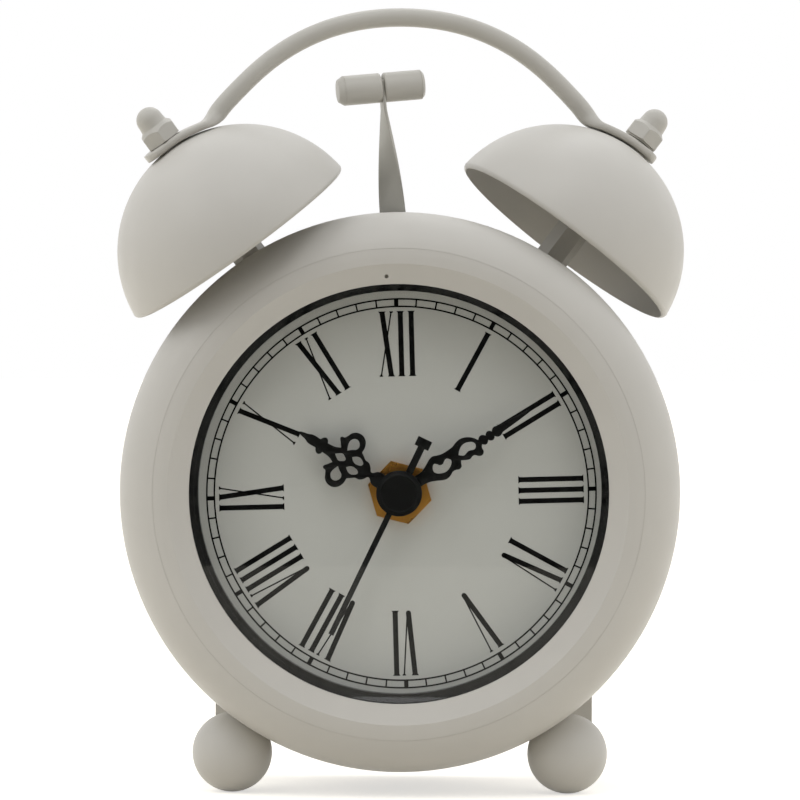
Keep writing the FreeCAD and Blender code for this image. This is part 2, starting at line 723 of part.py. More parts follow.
def coil_core(side):
    """One coil's iron core, riveted in the bracket."""
    inner = PIVOT_X + side * (POLE_GAP - 0.6)
    outer = side * (YOKE_END + 0.9)
    start = Vector(min(inner, outer), 0, AXIS_Z + COIL_RISE)
    return Part.makeCylinder(CORE_R, abs(outer - inner), start, RIGHT)


# ---------------------------------------------------------------- movement

def movement_front():
    """The movement's front half, with the boss for the bush."""
    half = BOX_SIZE / 2
    depth = 5.0
    shell = rounded_block(half, BOX_D, depth, 4.0)
    hollow = rounded_block(half - BOX_WALL, BOX_D + BOX_WALL, depth, 2.5)
    return shell.cut([hollow, tube(BUSH_R, 0, BOX_D - 1, 5)])


def rounded_block(half, depth, length, radius):
    """A square block with rounded corners round the dial's centre."""
    body = block(-half, half, depth, depth + length, -half, half)
    long_edges = [edge for edge in body.Edges if abs(edge.tangentAt(edge.FirstParameter).y) > 0.9]
    return body.makeFillet(radius, long_edges)


def movement_rear():
    """The movement's rear half, with bearings for the two spindles."""
    half = BOX_SIZE / 2
    start = BOX_D + 5.0
    shell = rounded_block(half, start, BOX_DEPTH - 5.0, 4.0)
    hollow = rounded_block(half - BOX_WALL, start - 1, BOX_DEPTH - 4.0 - BOX_WALL, 2.5)
    boss = tube(3.0, 0, start + 4.0, BOX_DEPTH - 9.0)
    body = fuse([shell.cut(hollow), boss])
    bores = [tube(SPINDLE_R + FIT, 0, start, 20, SET_X, SET_Z),
             tube(SPINDLE_R + FIT, 0, start, 20, ALARM_X, ALARM_Z),
             tube(ARBOR_R + FIT, 0, start, 8)]
    return body.cut(bores)


def mounting_bush():
    """The brass bush that carries the movement on the dial."""
    sleeve = tube(BUSH_R, 3.0, DIAL_D - 2.1, 2.1 + DIAL_T + WASHER_T + BOX_WALL)
    flange = tube(6.0, 3.0, GEAR_D, 0.7)
    return fuse([sleeve, flange])


def bush_nut():
    """The hexagonal nut that clamps the dial on the bush."""
    nut = hexagon(11.3, 1.9, at(0, DIAL_D - 1.9, 0), BACK)
    nut.rotate(at(0, 0, 0), BACK, 14)
    bevel = Part.makeCone(5.9, 7.8, 1.9, at(0, DIAL_D - 1.9, 0), BACK)
    return nut.common(bevel).cut(tube(BUSH_R, 0, DIAL_D - 3, 5))


def gear(teeth, bore, depth, width, x, phase):
    """A spur gear of the motion work with one tooth's middle at phase degrees from +X."""
    pitch_r = MODULE * teeth / 2
    step = 360 / teeth
    flank = [(pitch_r - 1.25 * MODULE, -0.30), (pitch_r, -0.21), (pitch_r + 0.85 * MODULE, -0.10),
             (pitch_r + 0.85 * MODULE, 0.10), (pitch_r, 0.21), (pitch_r - 1.25 * MODULE, 0.30)]
    corners = []
    for i in range(teeth):
        for radius, share in flank:
            gx, gz = polar(radius, phase + step * (i + share))
            corners.append(at(x + gx, depth, gz))
    blank = Part.Face(Part.makePolygon(corners + [corners[0]])).extrude(BACK * width)
    if bore > 0:
        blank = blank.cut(tube(bore, 0, depth - 1, width + 2, x))
    return blank


def minute_pipe():
    """The cannon pinion: the pipe that carries the minute hand."""
    pinion = gear(CANNON_TEETH, ARBOR_R + FIT, MINUTE_WHEEL_D - 0.1, 1.2, 0, 180)
    pipe = tube(CANNON_R, ARBOR_R + FIT, MINUTE_HAND_D, MINUTE_WHEEL_D + 1.4 - MINUTE_HAND_D)
    return fuse([pinion, pipe])


def hour_wheel():
    """The hour wheel on its pipe."""
    wheel = gear(HOUR_TEETH, CANNON_R + FIT, HOUR_WHEEL_D, 1.0, 0, 180)
    pipe = tube(HOUR_PIPE_R, CANNON_R + FIT, HOUR_HAND_D, HOUR_WHEEL_D + 1.0 - HOUR_HAND_D)
    return fuse([wheel, pipe])


def set_wheel():
    """The minute wheel and pinion on the setting spindle."""
    wheel = gear(WHEEL_TEETH, 0, MINUTE_WHEEL_D, 1.0, SET_X, 180)
    pinion = gear(PINION_TEETH, 0, HOUR_WHEEL_D - 0.2, 1.8, SET_X, 180 / PINION_TEETH)
    return fuse([wheel, pinion, spindle(SET_X, SET_Z, MINUTE_WHEEL_D)])


def second_arbor():
    """The seconds arbor with its wheel."""
    arbor = tube(ARBOR_R, 0, SECOND_HAND_D, BOX_D + 11.0 - SECOND_HAND_D)
    return fuse([arbor, gear(SECOND_TEETH, 0, BOX_D + 7.2, 0.8, 0, 0)])


def alarm_arbor():
    """The alarm spindle with its cam."""
    cam = tube(4.5, 0, BOX_D + 8, 2.0, ALARM_X, ALARM_Z)
    notch = block(ALARM_X - 0.8, ALARM_X + 0.8, BOX_D + 7, BOX_D + 11, 3.2, 6)
    return fuse([cam.cut(notch), spindle(ALARM_X, ALARM_Z, BOX_D + 8)])


# ---------------------------------------------------------------- hands
def plate_of(faces, holes, depth, angle):
    """A stamped hand: flat outlines joined, pierced and turned to their hour."""
    shapes = [face.extrude(BACK * HAND_T) for face in faces]
    cuts = [hole.extrude(BACK * HAND_T * 3) for hole in holes]
    for cut in cuts:
        cut.translate(BACK * -HAND_T)
    body = fuse(shapes)
    if cuts:
        body = body.cut(cuts)
    body.rotate(Vector(0, 0, 0), BACK, angle)
    body.translate(at(0, depth, 0))
    return body


def blade(points):
    """A symmetric outline from (half width, height) points."""
    right = [Vector(half, 0, height) for half, height in points]
    left = [Vector(-half, 0, height) for half, height in reversed(points) if half > 0]
    corners = right + left
    return Part.Face(Part.makePolygon(corners + [corners[0]]))


def oval(x, height, half_x, half_z, turn=0.0):
    """A flat ellipse."""
    if half_x >= half_z:
        curve = Part.Ellipse(Vector(half_x, 0, 0), Vector(0, 0, half_z), Vector(0, 0, 0))
    else:
        curve = Part.Ellipse(Vector(0, 0, half_z), Vector(half_x, 0, 0), Vector(0, 0, 0))
    face = Part.Face(Part.Wire(curve.toShape()))
    face.rotate(Vector(0, 0, 0), BACK, turn)
    face.translate(Vector(x, 0, height))
    return face


def disc(x, height, radius):
    """A flat circle."""
    return Part.Face(Part.Wire(Part.makeCircle(radius, Vector(x, 0, height), BACK)))


def hour_hand():
    """The pierced serpentine hour hand with its collet."""
    faces = [disc(0, 0, 4.4),
             blade([(1.4, 3.0), (1.6, 5.6), (0.75, 7.2), (1.9, 8.4), (2.5, 10.0),
                    (3.2, 12.0), (2.0, 13.8), (1.5, 15.2), (1.15, 16.8), (1.6, 18.4),
                    (1.05, 19.4), (1.05, 20.8), (0.5, 22.2), (0, 23.4)])]
    holes = [oval(0, 13.7, 0.72, 0.95)]
    for side in (-1, 1):
        faces += [disc(side * 3.74, 12.5, 2.15), disc(side * 1.45, 18.4, 0.75),
                  oval(side * 2.1, 8.7, 1.1, 0.8, side * 30), oval(side * 3.3, 15.0, 0.5, 1.2, side * 20)]
        holes += [oval(side * 1.25, 10.45, 0.62, 0.95, side * 25),
                  oval(side * 3.85, 12.4, 1.05, 1.25, side * -20)]
    collet = tube(3.6, 0, HOUR_HAND_D + HAND_T, 0.5)
    hand = fuse([plate_of(faces, holes, HOUR_HAND_D, HOUR_ANGLE), collet])
    return hand.cut(tube(HOUR_PIPE_R, 0, 0, 30))


def minute_hand():
    """The pierced serpentine minute hand with its collet."""
    faces = [disc(0, 0, 4.0),
             blade([(1.1, 3.0), (1.5, 6.4), (1.2, 8.5)]),
             disc(0, 10.0, 2.5), disc(0, 16.3, 2.5), oval(0, 13.1, 1.9, 1.0, 35),
             oval(-1.7, 8.8, 0.95, 1.3), oval(1.6, 17.9, 0.8, 1.2),
             blade([(0.62, 18.2), (0.55, 23.0), (0.7, 24.0), (0.35, 27.5), (0, 30.2)])]
    faces += [disc(0, height, 1.0) for height in (20.0, 21.6, 23.2)]
    holes = [oval(0.45, 10.3, 1.05, 1.45, -20), oval(-0.45, 16.3, 1.05, 1.5, -20)]
    collet = tube(2.8, 0, MINUTE_HAND_D + HAND_T, 0.5)
    hand = fuse([plate_of(faces, holes, MINUTE_HAND_D, MINUTE_ANGLE), collet])
    return hand.cut(tube(CANNON_R, 0, 0, 30))


def second_hand():
    """The straight second hand with its square-ended tail and round cap."""
    faces = [disc(0, 0, 3.0), blade([(0.7, 0), (0.7, 2.0), (0.42, 31.1)]), blade([(0.7, -10.5), (0.7, 0)]),
             blade([(1.5, -12.0), (1.5, -10.2)])]
    cap = tube(CAP_R, 0, SECOND_HAND_D - CAP_T, CAP_T)
    front = at(0, SECOND_HAND_D - CAP_T, 0).y
    cap = cap.makeChamfer(CAP_T - 0.2, [edge for edge in cap.Edges if edge.CenterOfMass.y < front + 0.1])
    body = plate_of(faces, [], SECOND_HAND_D, SECOND_ANGLE)
    return fuse([body, cap]).cut(tube(ARBOR_R, 0, SECOND_HAND_D, 10))


# ---------------------------------------------------------------- all pieces
def half_turn(shape):
    """The left-hand copy of a right-hand piece of the turned top assembly."""
    copy = shape.copy()
    copy.rotate(Vector(0, 0, 0), UP, 180)
    return copy


def top_pair(shape):
    """A right-hand piece of the top assembly and its left-hand copy as one group."""
    placed = turn_top(shape)
    return Part.makeCompound([half_turn(placed), placed])


def build():
    """Every node of the clock by name."""
    nodes = {
        "case_shell": case_shell(),
        "bezel_ring": bezel_ring(),
        "glass_lens": glass_lens(),
        "spacer_ring": spacer_ring(),
        "dial_plate": dial_plate(),
        "sealing_washer": sealing_washer(),
        "back_cover": back_cover(),
        "battery_door": battery_door(),
        "battery": battery(),
        "battery_contacts": battery_contacts(),
        "cover_screws": cover_screws(),
        "alarm_switch": alarm_switch(),
        "set_knob": knob(SET_X, SET_Z),
        "alarm_knob": knob(ALARM_X, ALARM_Z),
        "right_foot": ball_foot(),
        "left_foot": mirror_x(ball_foot()),
        "foot_screws": Part.makeCompound([mirror_x(foot_screw()), foot_screw()]),
        "right_post": turn_top(bell_post()),
        "left_post": half_turn(turn_top(bell_post())),
        "post_screws": top_pair(post_screw()),
        "right_bell": turn_top(bell()),
        "left_bell": half_turn(turn_top(bell())),
        "acorn_nuts": top_pair(acorn_nut()),
        "carry_handle": turn_top(carry_handle()),
        "hammer_arm": turn_top(hammer_arm()),
        "hammer_beads": turn_top(hammer_beads()),
        "hammer_rivet": turn_top(hammer_rivet()),
        "pivot_pin": turn_top(pivot_pin()),
        "ringer_bracket": turn_top(ringer_bracket()),
        "ringer_coils": turn_top(Part.makeCompound([coil_spool(-1), coil_spool(1)])),
        "ringer_cores": turn_top(Part.makeCompound([coil_core(-1), coil_core(1)])),
        "movement_front": movement_front(),
        "movement_rear": movement_rear(),
        "mounting_bush": mounting_bush(),
        "bush_nut": bush_nut(),
        "minute_pipe": minute_pipe(),
        "hour_wheel": hour_wheel(),
        "set_wheel": set_wheel(),
        "second_arbor": second_arbor(),
        "alarm_arbor": alarm_arbor(),
        "hour_hand": hour_hand(),
        "minute_hand": minute_hand(),
        "second_hand": second_hand(),
    }
    return nodes


def main():
    """Write one STEP file per node."""
    os.makedirs("parts", exist_ok=True)
    for name, shape in build().items():
        solids = shape.Solids
        box = shape.BoundBox
        print(f"{name:18s} valid={shape.isValid()} solids={len(solids)} volume={shape.Volume:9.2f} "
              f"x {box.XMin:7.2f} {box.XMax:7.2f} y {box.YMin:7.2f} {box.YMax:7.2f} "
              f"z {box.ZMin:7.2f} {box.ZMax:7.2f}")
        shape.exportStep(f"parts/{name}.step")


if __name__ == "__main__":
    main()
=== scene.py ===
"""The looks of a twin-bell alarm clock, dressed over its construction model.

Everything is in metres, in the frame of the construction model: +X right, +Y
into the clock from its dial, +Z up, with the origin on the table. Sizes below
are in millimetres, and MM turns them into metres where a mesh is made. Depths
are measured into the clock from the foremost circle of its bezel, and rises
from the middle of the drum.
"""
import logging
import math
from dataclasses import dataclass
from enum import Enum
from typing import Any, Callable, Mapping, Optional, Sequence

import bpy
from mathutils import Matrix, Vector


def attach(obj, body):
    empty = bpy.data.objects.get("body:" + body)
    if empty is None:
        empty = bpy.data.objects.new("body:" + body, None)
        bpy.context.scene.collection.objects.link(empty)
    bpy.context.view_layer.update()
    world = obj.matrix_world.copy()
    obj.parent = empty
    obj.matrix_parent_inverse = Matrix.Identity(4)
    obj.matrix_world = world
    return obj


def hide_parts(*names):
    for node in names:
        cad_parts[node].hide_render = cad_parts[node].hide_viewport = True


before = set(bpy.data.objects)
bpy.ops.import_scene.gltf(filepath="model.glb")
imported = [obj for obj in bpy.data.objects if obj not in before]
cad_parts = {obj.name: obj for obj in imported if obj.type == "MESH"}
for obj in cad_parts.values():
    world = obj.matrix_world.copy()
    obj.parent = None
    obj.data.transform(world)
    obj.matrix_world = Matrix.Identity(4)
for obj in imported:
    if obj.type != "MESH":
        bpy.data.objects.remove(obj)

LOG = logging.getLogger("clock")
MM = 0.001
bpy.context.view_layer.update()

CREST_Y = -25.0  # the bezel's foremost circle
FOOT_REACH = 62.4  # from the drum's axis to the middle of a ball foot
FOOT_SPREAD = math.radians(32.6)  # how far each foot stands out from straight down
FOOT_RISE = 7.9  # the middle of a ball foot above the table
AXIS_Z = FOOT_REACH * math.cos(FOOT_SPREAD) + FOOT_RISE
TOP_TURN = math.radians(11.8)  # bells, handle and hammer, about the vertical

WELD = 2e-6  # metres within which drawn vertices are made one
NEAR = 2e-5  # metres within which a vertex counts as a corner's own
SAME_MM = 1e-4  # millimetres within which two places along a rod are the same
BESIDE_MM = 1e-3  # millimetres beyond which a point lies beside the middle
LAP = 0.01  # millimetres by which joined bodies run into each other


def place(x: float, depth: float, rise: float) -> Vector:
    """Turn millimetres in the drum's own measures into a point in metres.

    Args:
        x: To the right of the drum's axis.
        depth: Into the clock from the bezel's crest.
        rise: Above the drum's axis.

    Returns:
        The point in the shared frame.
    """
    return Vector((x, CREST_Y + depth, AXIS_Z + rise)) * MM


def srgb(code: str) -> tuple[float, float, float, float]:
    """Turn a written sRGB colour into the linear one that a shader takes.

    Args:
        code: Six hexadecimal digits.

    Returns:
        Red, green, blue and alpha, linear.
    """
    parts = [int(code[i:i + 2], 16) / 255 for i in (0, 2, 4)]
    line = [c / 12.92 if c <= 0.04045 else ((c + 0.055) / 1.055) ** 2.4 for c in parts]
    return line[0], line[1], line[2], 1.0


def add_node(tree: bpy.types.NodeTree, kind: str, settings: Optional[Mapping[str, Any]] = None,
             inputs: Optional[Mapping[Any, Any]] = None) -> bpy.types.Node:
    """Add a shader node with its settings and what goes into it.

    Args:
        tree: The material's node tree.
        kind: The node's type.
        settings: Properties of the node itself.
        inputs: For each input, by name or number, a value or another node's output.

    Returns:
        The new node.
    """
    node = tree.nodes.new(kind)
    for name, value in (settings or {}).items():
        setattr(node, name, value)
    for name, value in (inputs or {}).items():
        if isinstance(value, bpy.types.NodeSocket):
            tree.links.new(value, node.inputs[name])
        else:
            node.inputs[name].default_value = value
    return node


# ------------------------------------------------------------------ finishes
NOISE_LOW, NOISE_HIGH = 0.3, 0.7  # nearly all of a noise texture's values lie between these
WAVE_RATE = 20  # radians that the wave texture runs in one unit at scale 1
SLEEKEST = 0.02  # least roughness of an opaque finish


def blank_material(name: str) -> bpy.types.Material:
    """Make a material with no nodes in it yet.

    Args:
        name: Its name.

    Returns:
        The material.
    """
    material = bpy.data.materials.new(name)
    material.use_nodes = True
    material.node_tree.nodes.clear()
    return material


@dataclass(frozen=True)
class Finish:
    """A finish: what every surface of it shares, and how its relief is made.

    Attributes:
        name: The material's name.
        colour: Its sRGB colour, as six hexadecimal digits.
        roughness: Its middle roughness.
        ior: Its index of refraction, where it isn't all metal.
        metallic: How much bare metal shows.
        coat: Weight of a clear coat.
        coat_roughness: That coat's roughness.
        grain_mm: Across a grain of the relief.
        relief_mm: Height of the relief.
        mottle: How far the colour strays, as a share of it.
        cloud_mm: Across a cloud of that.
        scuff: How far the roughness strays.
        patch_mm: Across a patch of that.
    """

    name: str
    colour: str
    roughness: float
    ior: float = 1.5
    metallic: float = 0.0
    coat: float = 0.0
    coat_roughness: float = 0.12
    grain_mm: float = 1.0
    relief_mm: float = 0.0
    mottle: float = 0.03
    cloud_mm: float = 9.0
    scuff: float = 0.06
    patch_mm: float = 5.0

    def make(self) -> bpy.types.Material:
        """Make the material: mottled colour, scuffed roughness and fine relief.

        Returns:
            The finished material.
        """
        material = blank_material(self.name)
        tree = material.node_tree
        where = add_node(tree, "ShaderNodeTexCoord").outputs["Object"]
        shader = add_node(tree, "ShaderNodeBsdfPrincipled")
        self.body(shader)
        tree.links.new(self.tint(tree, where), shader.inputs["Base Color"])
        tree.links.new(self.wear(tree, where), shader.inputs["Roughness"])
        if self.relief_mm > 0:
            tree.links.new(self.relief(tree, where), shader.inputs["Normal"])
        add_node(tree, "ShaderNodeOutputMaterial", inputs={"Surface": shader.outputs[0]})
        return material

    def body(self, shader: bpy.types.Node) -> None:
        """Set what is the same all over the surface on the shader itself.

        Args:
            shader: The Principled shader.
        """
        shader.inputs["Metallic"].default_value = self.metallic
        if self.metallic < 1.0:
            shader.inputs["IOR"].default_value = self.ior
        shader.inputs["Coat Weight"].default_value = self.coat
        shader.inputs["Coat Roughness"].default_value = self.coat_roughness

    def tint(self, tree: bpy.types.NodeTree, where: bpy.types.NodeSocket) -> bpy.types.NodeSocket:
        """Vary the colour a little over the surface.

        Args:
            tree: The material's node tree.
            where: The place on the object.

        Returns:
            The colour.
        """
        cloud = add_node(tree, "ShaderNodeTexNoise", inputs={
            "Vector": where, "Scale": 1 / (self.cloud_mm * MM), "Detail": 3.0})
        shade = add_node(tree, "ShaderNodeMapRange", inputs={
            "Value": cloud.outputs["Fac"], "From Min": NOISE_LOW, "From Max": NOISE_HIGH,
            "To Min": 1 - self.mottle, "To Max": 1 + self.mottle})
        return add_node(tree, "ShaderNodeVectorMath", {"operation": "SCALE"}, {
            0: srgb(self.colour)[:3], "Scale": shade.outputs[0]}).outputs[0]

    def wear(self, tree: bpy.types.NodeTree, where: bpy.types.NodeSocket) -> bpy.types.NodeSocket:
        """Vary the roughness as handling does.

        Args:
            tree: The material's node tree.
            where: The place on the object.

        Returns:
            The roughness.
        """
        patch = add_node(tree, "ShaderNodeTexNoise", inputs={
            "Vector": where, "Scale": 1 / (self.patch_mm * MM), "Detail": 4.0})
        return add_node(tree, "ShaderNodeMapRange", inputs={
            "Value": patch.outputs["Fac"], "From Min": NOISE_LOW, "From Max": NOISE_HIGH,
            "To Min": max(SLEEKEST, self.roughness - self.scuff),
            "To Max": self.roughness + self.scuff}).outputs[0]

    def relief(self, tree: bpy.types.NodeTree, where: bpy.types.NodeSocket) -> bpy.types.NodeSocket:
        """Make the fine relief of the surface.

        Args:
            tree: The material's node tree.
            where: The place on the object.

        Returns:
            The bent normal.
        """
        skin = add_node(tree, "ShaderNodeTexNoise", inputs={
            "Vector": where, "Scale": 1 / (self.grain_mm * MM), "Detail": 2.0})
        return add_node(tree, "ShaderNodeBump", inputs={
            "Strength": 1.0, "Distance": self.relief_mm * MM, "Height": skin.outputs["Fac"]}).outputs[0]


@dataclass(frozen=True)
class ClearGlass(Finish):
    """Float glass: clear, quite smooth, and it lets the lamps through to the dial.

    Attributes:
        wiped: Roughness of the traces that wiping has left.
        wipe_mm: Across such a trace.
    """

    wiped: float = 0.02
    wipe_mm: float = 7.0

    def make(self) -> bpy.types.Material:
        """Make the glass, clear to the light that reaches what is behind it.

        Returns:
            The finished material.
        """
        material = blank_material(self.name)
        tree = material.node_tree
        where = add_node(tree, "ShaderNodeTexCoord").outputs["Object"]
        shader = add_node(tree, "ShaderNodeBsdfPrincipled", inputs={"Transmission Weight": 1.0})
        self.body(shader)
        tree.links.new(self.wear(tree, where), shader.inputs["Roughness"])
        shader.inputs["Base Color"].default_value = srgb(self.colour)
        rays = add_node(tree, "ShaderNodeLightPath")
        open_way = add_node(tree, "ShaderNodeBsdfTransparent", inputs={"Color": srgb(self.colour)})
        either = add_node(tree, "ShaderNodeMath", {"operation": "MAXIMUM"}, {
            0: rays.outputs["Is Shadow Ray"], 1: rays.outputs["Is Diffuse Ray"]})
        both = add_node(tree, "ShaderNodeMixShader", inputs={
            0: either.outputs[0], 1: shader.outputs[0], 2: open_way.outputs[0]})
        add_node(tree, "ShaderNodeOutputMaterial", inputs={"Surface": both.outputs[0]})
        return material

    def wear(self, tree: bpy.types.NodeTree, where: bpy.types.NodeSocket) -> bpy.types.NodeSocket:
        """Leave a trace of wiping on the glass: roughness from none to very little.

        Args:
            tree: The material's node tree.
            where: The place on the object.

        Returns:
            The roughness.
        """
        patch = add_node(tree, "ShaderNodeTexNoise", inputs={
            "Vector": where, "Scale": 1 / (self.wipe_mm * MM), "Detail": 3.0})
        return add_node(tree, "ShaderNodeMapRange", inputs={
            "Value": patch.outputs["Fac"], "From Min": NOISE_LOW, "From Max": NOISE_HIGH,
            "To Min": 0.0, "To Max": self.wiped}).outputs[0]


@dataclass(frozen=True)
class WoundWire(Finish):
    """Enamelled copper wire wound on a spool: rings round the spool's own axis.

    Attributes:
        pitch_mm: From one turn of wire to the next.
    """

    pitch_mm: float = 0.35

    def relief(self, tree: bpy.types.NodeTree, where: bpy.types.NodeSocket) -> bpy.types.NodeSocket:
        """Make a turn of wire every pitch along the spool.

        Args:
            tree: The material's node tree.
            where: The place on the object.

        Returns:
            The bent normal.
        """
        along = add_node(tree, "ShaderNodeMapping", inputs={"Vector": where, "Rotation": (0, 0, -TOP_TURN)})
        turns = add_node(tree, "ShaderNodeTexWave", {"bands_direction": "X"}, {
            "Vector": along.outputs[0], "Scale": 2 * math.pi / (WAVE_RATE * self.pitch_mm * MM)})
        return add_node(tree, "ShaderNodeBump", inputs={
            "Strength": 1.0, "Distance": self.relief_mm * MM, "Height": turns.outputs["Fac"]}).outputs[0]


class Paint(Enum):
    """The finishes, each named for what the real one is."""

    # Stoved enamel over pressed steel: a satin skin with a faint orange peel.
    ENAMEL = Finish("stoved_enamel", "CAC7C0", 0.46, ior=1.45, grain_mm=1.1, relief_mm=0.012, mottle=0.012)
    # The same enamel on the small fittings, made a little greyer all over.
    FITTING = Finish("fitting_enamel", "C1BEB6", 0.44, ior=1.45, grain_mm=0.8, relief_mm=0.010, mottle=0.02)
    # Spring strip, sprayed thin, so that the steel's sheen shows through.
    STRIP = Finish("sprayed_spring_steel", "B4B2AA", 0.45, metallic=0.35, grain_mm=0.5, relief_mm=0.006)
    # Float glass, wiped: clear, with a gloss that is hardly uneven.
    GLASS = ClearGlass("float_glass", "FDFEFD", 0.0)
    # Polystyrene moulding, glossy black.
    RING = Finish("black_polystyrene", "090909", 0.18, ior=1.3, grain_mm=0.7, relief_mm=0.004, scuff=0.05)
    # Aluminium sheet sprayed with a matt silver-white.
    DIAL = Finish("dial_lacquer", "D4D3CF", 0.55, ior=1.45, grain_mm=0.25, relief_mm=0.003, mottle=0.01)
    # Screen ink: thick, black, nearly matt.
    INK = Finish("screen_ink", "0B0B0A", 0.50, ior=1.2, grain_mm=0.3, relief_mm=0.004, mottle=0.15)
    # Nitrile rubber, cut from sheet: dead matt.
    RUBBER = Finish("nitrile_rubber", "1B1B1B", 0.75, ior=1.52, grain_mm=0.4, relief_mm=0.02, mottle=0.1)
    # ABS from a spark-eroded mould: an even matt grain.
    COVER = Finish("spark_grain_abs", "C6C3BC", 0.55, ior=1.54, grain_mm=0.5, relief_mm=0.02, mottle=0.015)
    # The same moulding in black, polished by fingers.
    CONTROL = Finish("black_abs", "1C1C1D", 0.42, ior=1.54, grain_mm=0.5, relief_mm=0.015, mottle=0.08)
    # Zinc plate, passivated: soft grey metal with faint blooms.
    ZINC = Finish("zinc_plate", "B4B6B8", 0.34, metallic=1.0, grain_mm=0.6, relief_mm=0.006, mottle=0.06)
    # Shrink sleeve on a dry cell: drawn tight, smooth and glossy.
    SLEEVE = Finish("shrink_sleeve", "3A3D40", 0.25, grain_mm=2.0, relief_mm=0.01)
    # Enamelled copper wire: a warm brown gleam in fine rings.
    WIRE = WoundWire("enamelled_wire", "9A5A2C", 0.25, coat=0.5, relief_mm=0.12, mottle=0.08)
    # ABS movement case: an even matt black.
    CASE = Finish("movement_abs", "18181A", 0.5, ior=1.54, grain_mm=0.6, relief_mm=0.015, mottle=0.06)
    # Turned brass, a little tarnished.
    BRASS = Finish("turned_brass", "DDA04C", 0.30, metallic=1.0, grain_mm=0.5, relief_mm=0.006, mottle=0.10)
    # Acetal wheels, milky and slippery.
    ACETAL = Finish("natural_acetal", "DDDAD0", 0.35, ior=1.48, grain_mm=0.8, relief_mm=0.003, mottle=0.02)
    # Black lacquer on stamped steel: a thin film with a soft gloss.
    LACQUER = Finish("black_lacquer", "0C0C0B", 0.38, ior=1.28, grain_mm=0.5, relief_mm=0.006, mottle=0.1)


SLOT_PAINT: dict[str, Paint] = {
    "painted_drum": Paint.ENAMEL, "painted_bezel": Paint.ENAMEL, "painted_bells": Paint.ENAMEL,
    "painted_fittings": Paint.FITTING, "painted_feet": Paint.ENAMEL, "painted_hammer": Paint.FITTING,
    "glass": Paint.GLASS, "black_ring": Paint.RING, "dial_print": Paint.DIAL, "washer_rubber": Paint.RUBBER,
    "cover_plastic": Paint.COVER, "control_plastic": Paint.CONTROL, "zinc_steel": Paint.ZINC,
    "cell_sleeve": Paint.SLEEVE, "coil_tape": Paint.WIRE, "movement_plastic": Paint.CASE,
    "brass": Paint.BRASS, "gear_plastic": Paint.ACETAL, "hand_lacquer": Paint.LACQUER,
}


class PaintShop:
    """Makes each finish once and puts it on pieces."""

    def __init__(self) -> None:
        """Start with nothing mixed."""
        self.mixed: dict[Paint, bpy.types.Material] = {}

    def material(self, paint: Paint) -> bpy.types.Material:
        """Give the material of a finish, made when first asked for.

        Args:
            paint: The finish.

        Returns:
            Its material.
        """
        if paint not in self.mixed:
            self.mixed[paint] = paint.value.make()
        return self.mixed[paint]

    def coat(self, piece: bpy.types.Object, paint: Paint) -> None:
        """Put one finish all over a new piece.

        Args:
            piece: The piece.
            paint: Its finish.
        """
        piece.data.materials.clear()
        piece.data.materials.append(self.material(paint))

    def coat_nodes(self) -> None:
        """Put each construction node's finish in its own material slots."""
        for name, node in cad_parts.items():
            for slot in node.material_slots:
                if slot.material is not None and slot.material.name in SLOT_PAINT:
                    slot.material = self.material(SLOT_PAINT[slot.material.name])
            LOG.info("finished node %s", name)


# ------------------------------------------------------------------ bench
def clear_selection() -> None:
    """Deselect every object."""
    bpy.ops.object.select_all(action="DESELECT")


def hold(piece: bpy.types.Object) -> None:
    """Select one object alone and make it active.

    Args:
        piece: The object.
    """
    clear_selection()
    piece.select_set(True)
    bpy.context.view_layer.objects.active = piece


def seat(piece: bpy.types.Object, where: Matrix) -> None:
    """Move a piece's mesh to its place and leave its object at the origin.

    Args:
        piece: The piece, drawn about the origin.
        where: Its place.
    """
    hold(piece)
    piece.matrix_world = where
    bpy.ops.object.transform_apply(location=True, rotation=True, scale=True)


def smooth(piece: bpy.types.Object, degrees: float = 30.0) -> None:
    """Shade a piece smooth, apart from its sharp edges.

    Args:
        piece: The piece.
        degrees: The angle from which an edge counts as sharp.
    """
    hold(piece)
    bpy.ops.object.shade_smooth_by_angle(angle=math.radians(degrees))


def copied(piece: bpy.types.Object, name: str) -> bpy.types.Object:
    """Copy a piece, with its own mesh.

    Args:
        piece: The piece.
        name: The copy's name.

    Returns:
        The copy.
    """
    hold(piece)
    bpy.ops.object.duplicate()
    twin = bpy.context.object
    twin.name = name
    return twin


def modify(piece: bpy.types.Object, kind: str, **settings: Any) -> None:
    """Give a piece a modifier and apply it.

    Args:
        piece: The piece.
        kind: The modifier's type.
        settings: Its settings.
    """
    hold(piece)
    modifier = piece.modifiers.new(kind.lower(), kind)
    for name, value in settings.items():
        setattr(modifier, name, value)
    bpy.ops.object.modifier_apply(modifier=modifier.name)


def pick_where(piece: bpy.types.Object, test: Callable[[Vector], bool]) -> None:
    """Select the vertices of a piece that pass a test of their place, in edit mode.

    Args:
        piece: The piece being edited.
        test: Tells whether a place counts.
    """
    bpy.ops.mesh.select_mode(type="VERT")
    bpy.ops.mesh.select_all(action="DESELECT")
    bpy.ops.object.mode_set(mode="OBJECT")
    for vertex in piece.data.vertices:
        vertex.select = test(vertex.co)
    bpy.ops.object.mode_set(mode="EDIT")


@dataclass
class Corner:
    """A point of a turned profile.

    Attributes:
        radius: From the axis, in millimetres.
        height: Along the axis, in millimetres.
        soft: Radius of the rounding at this corner, in millimetres.
        bulge: If not 0, the run to this corner is an arc of that many degrees.
    """

    radius: float
    height: float
    soft: float = 0.0
    bulge: float = 0.0


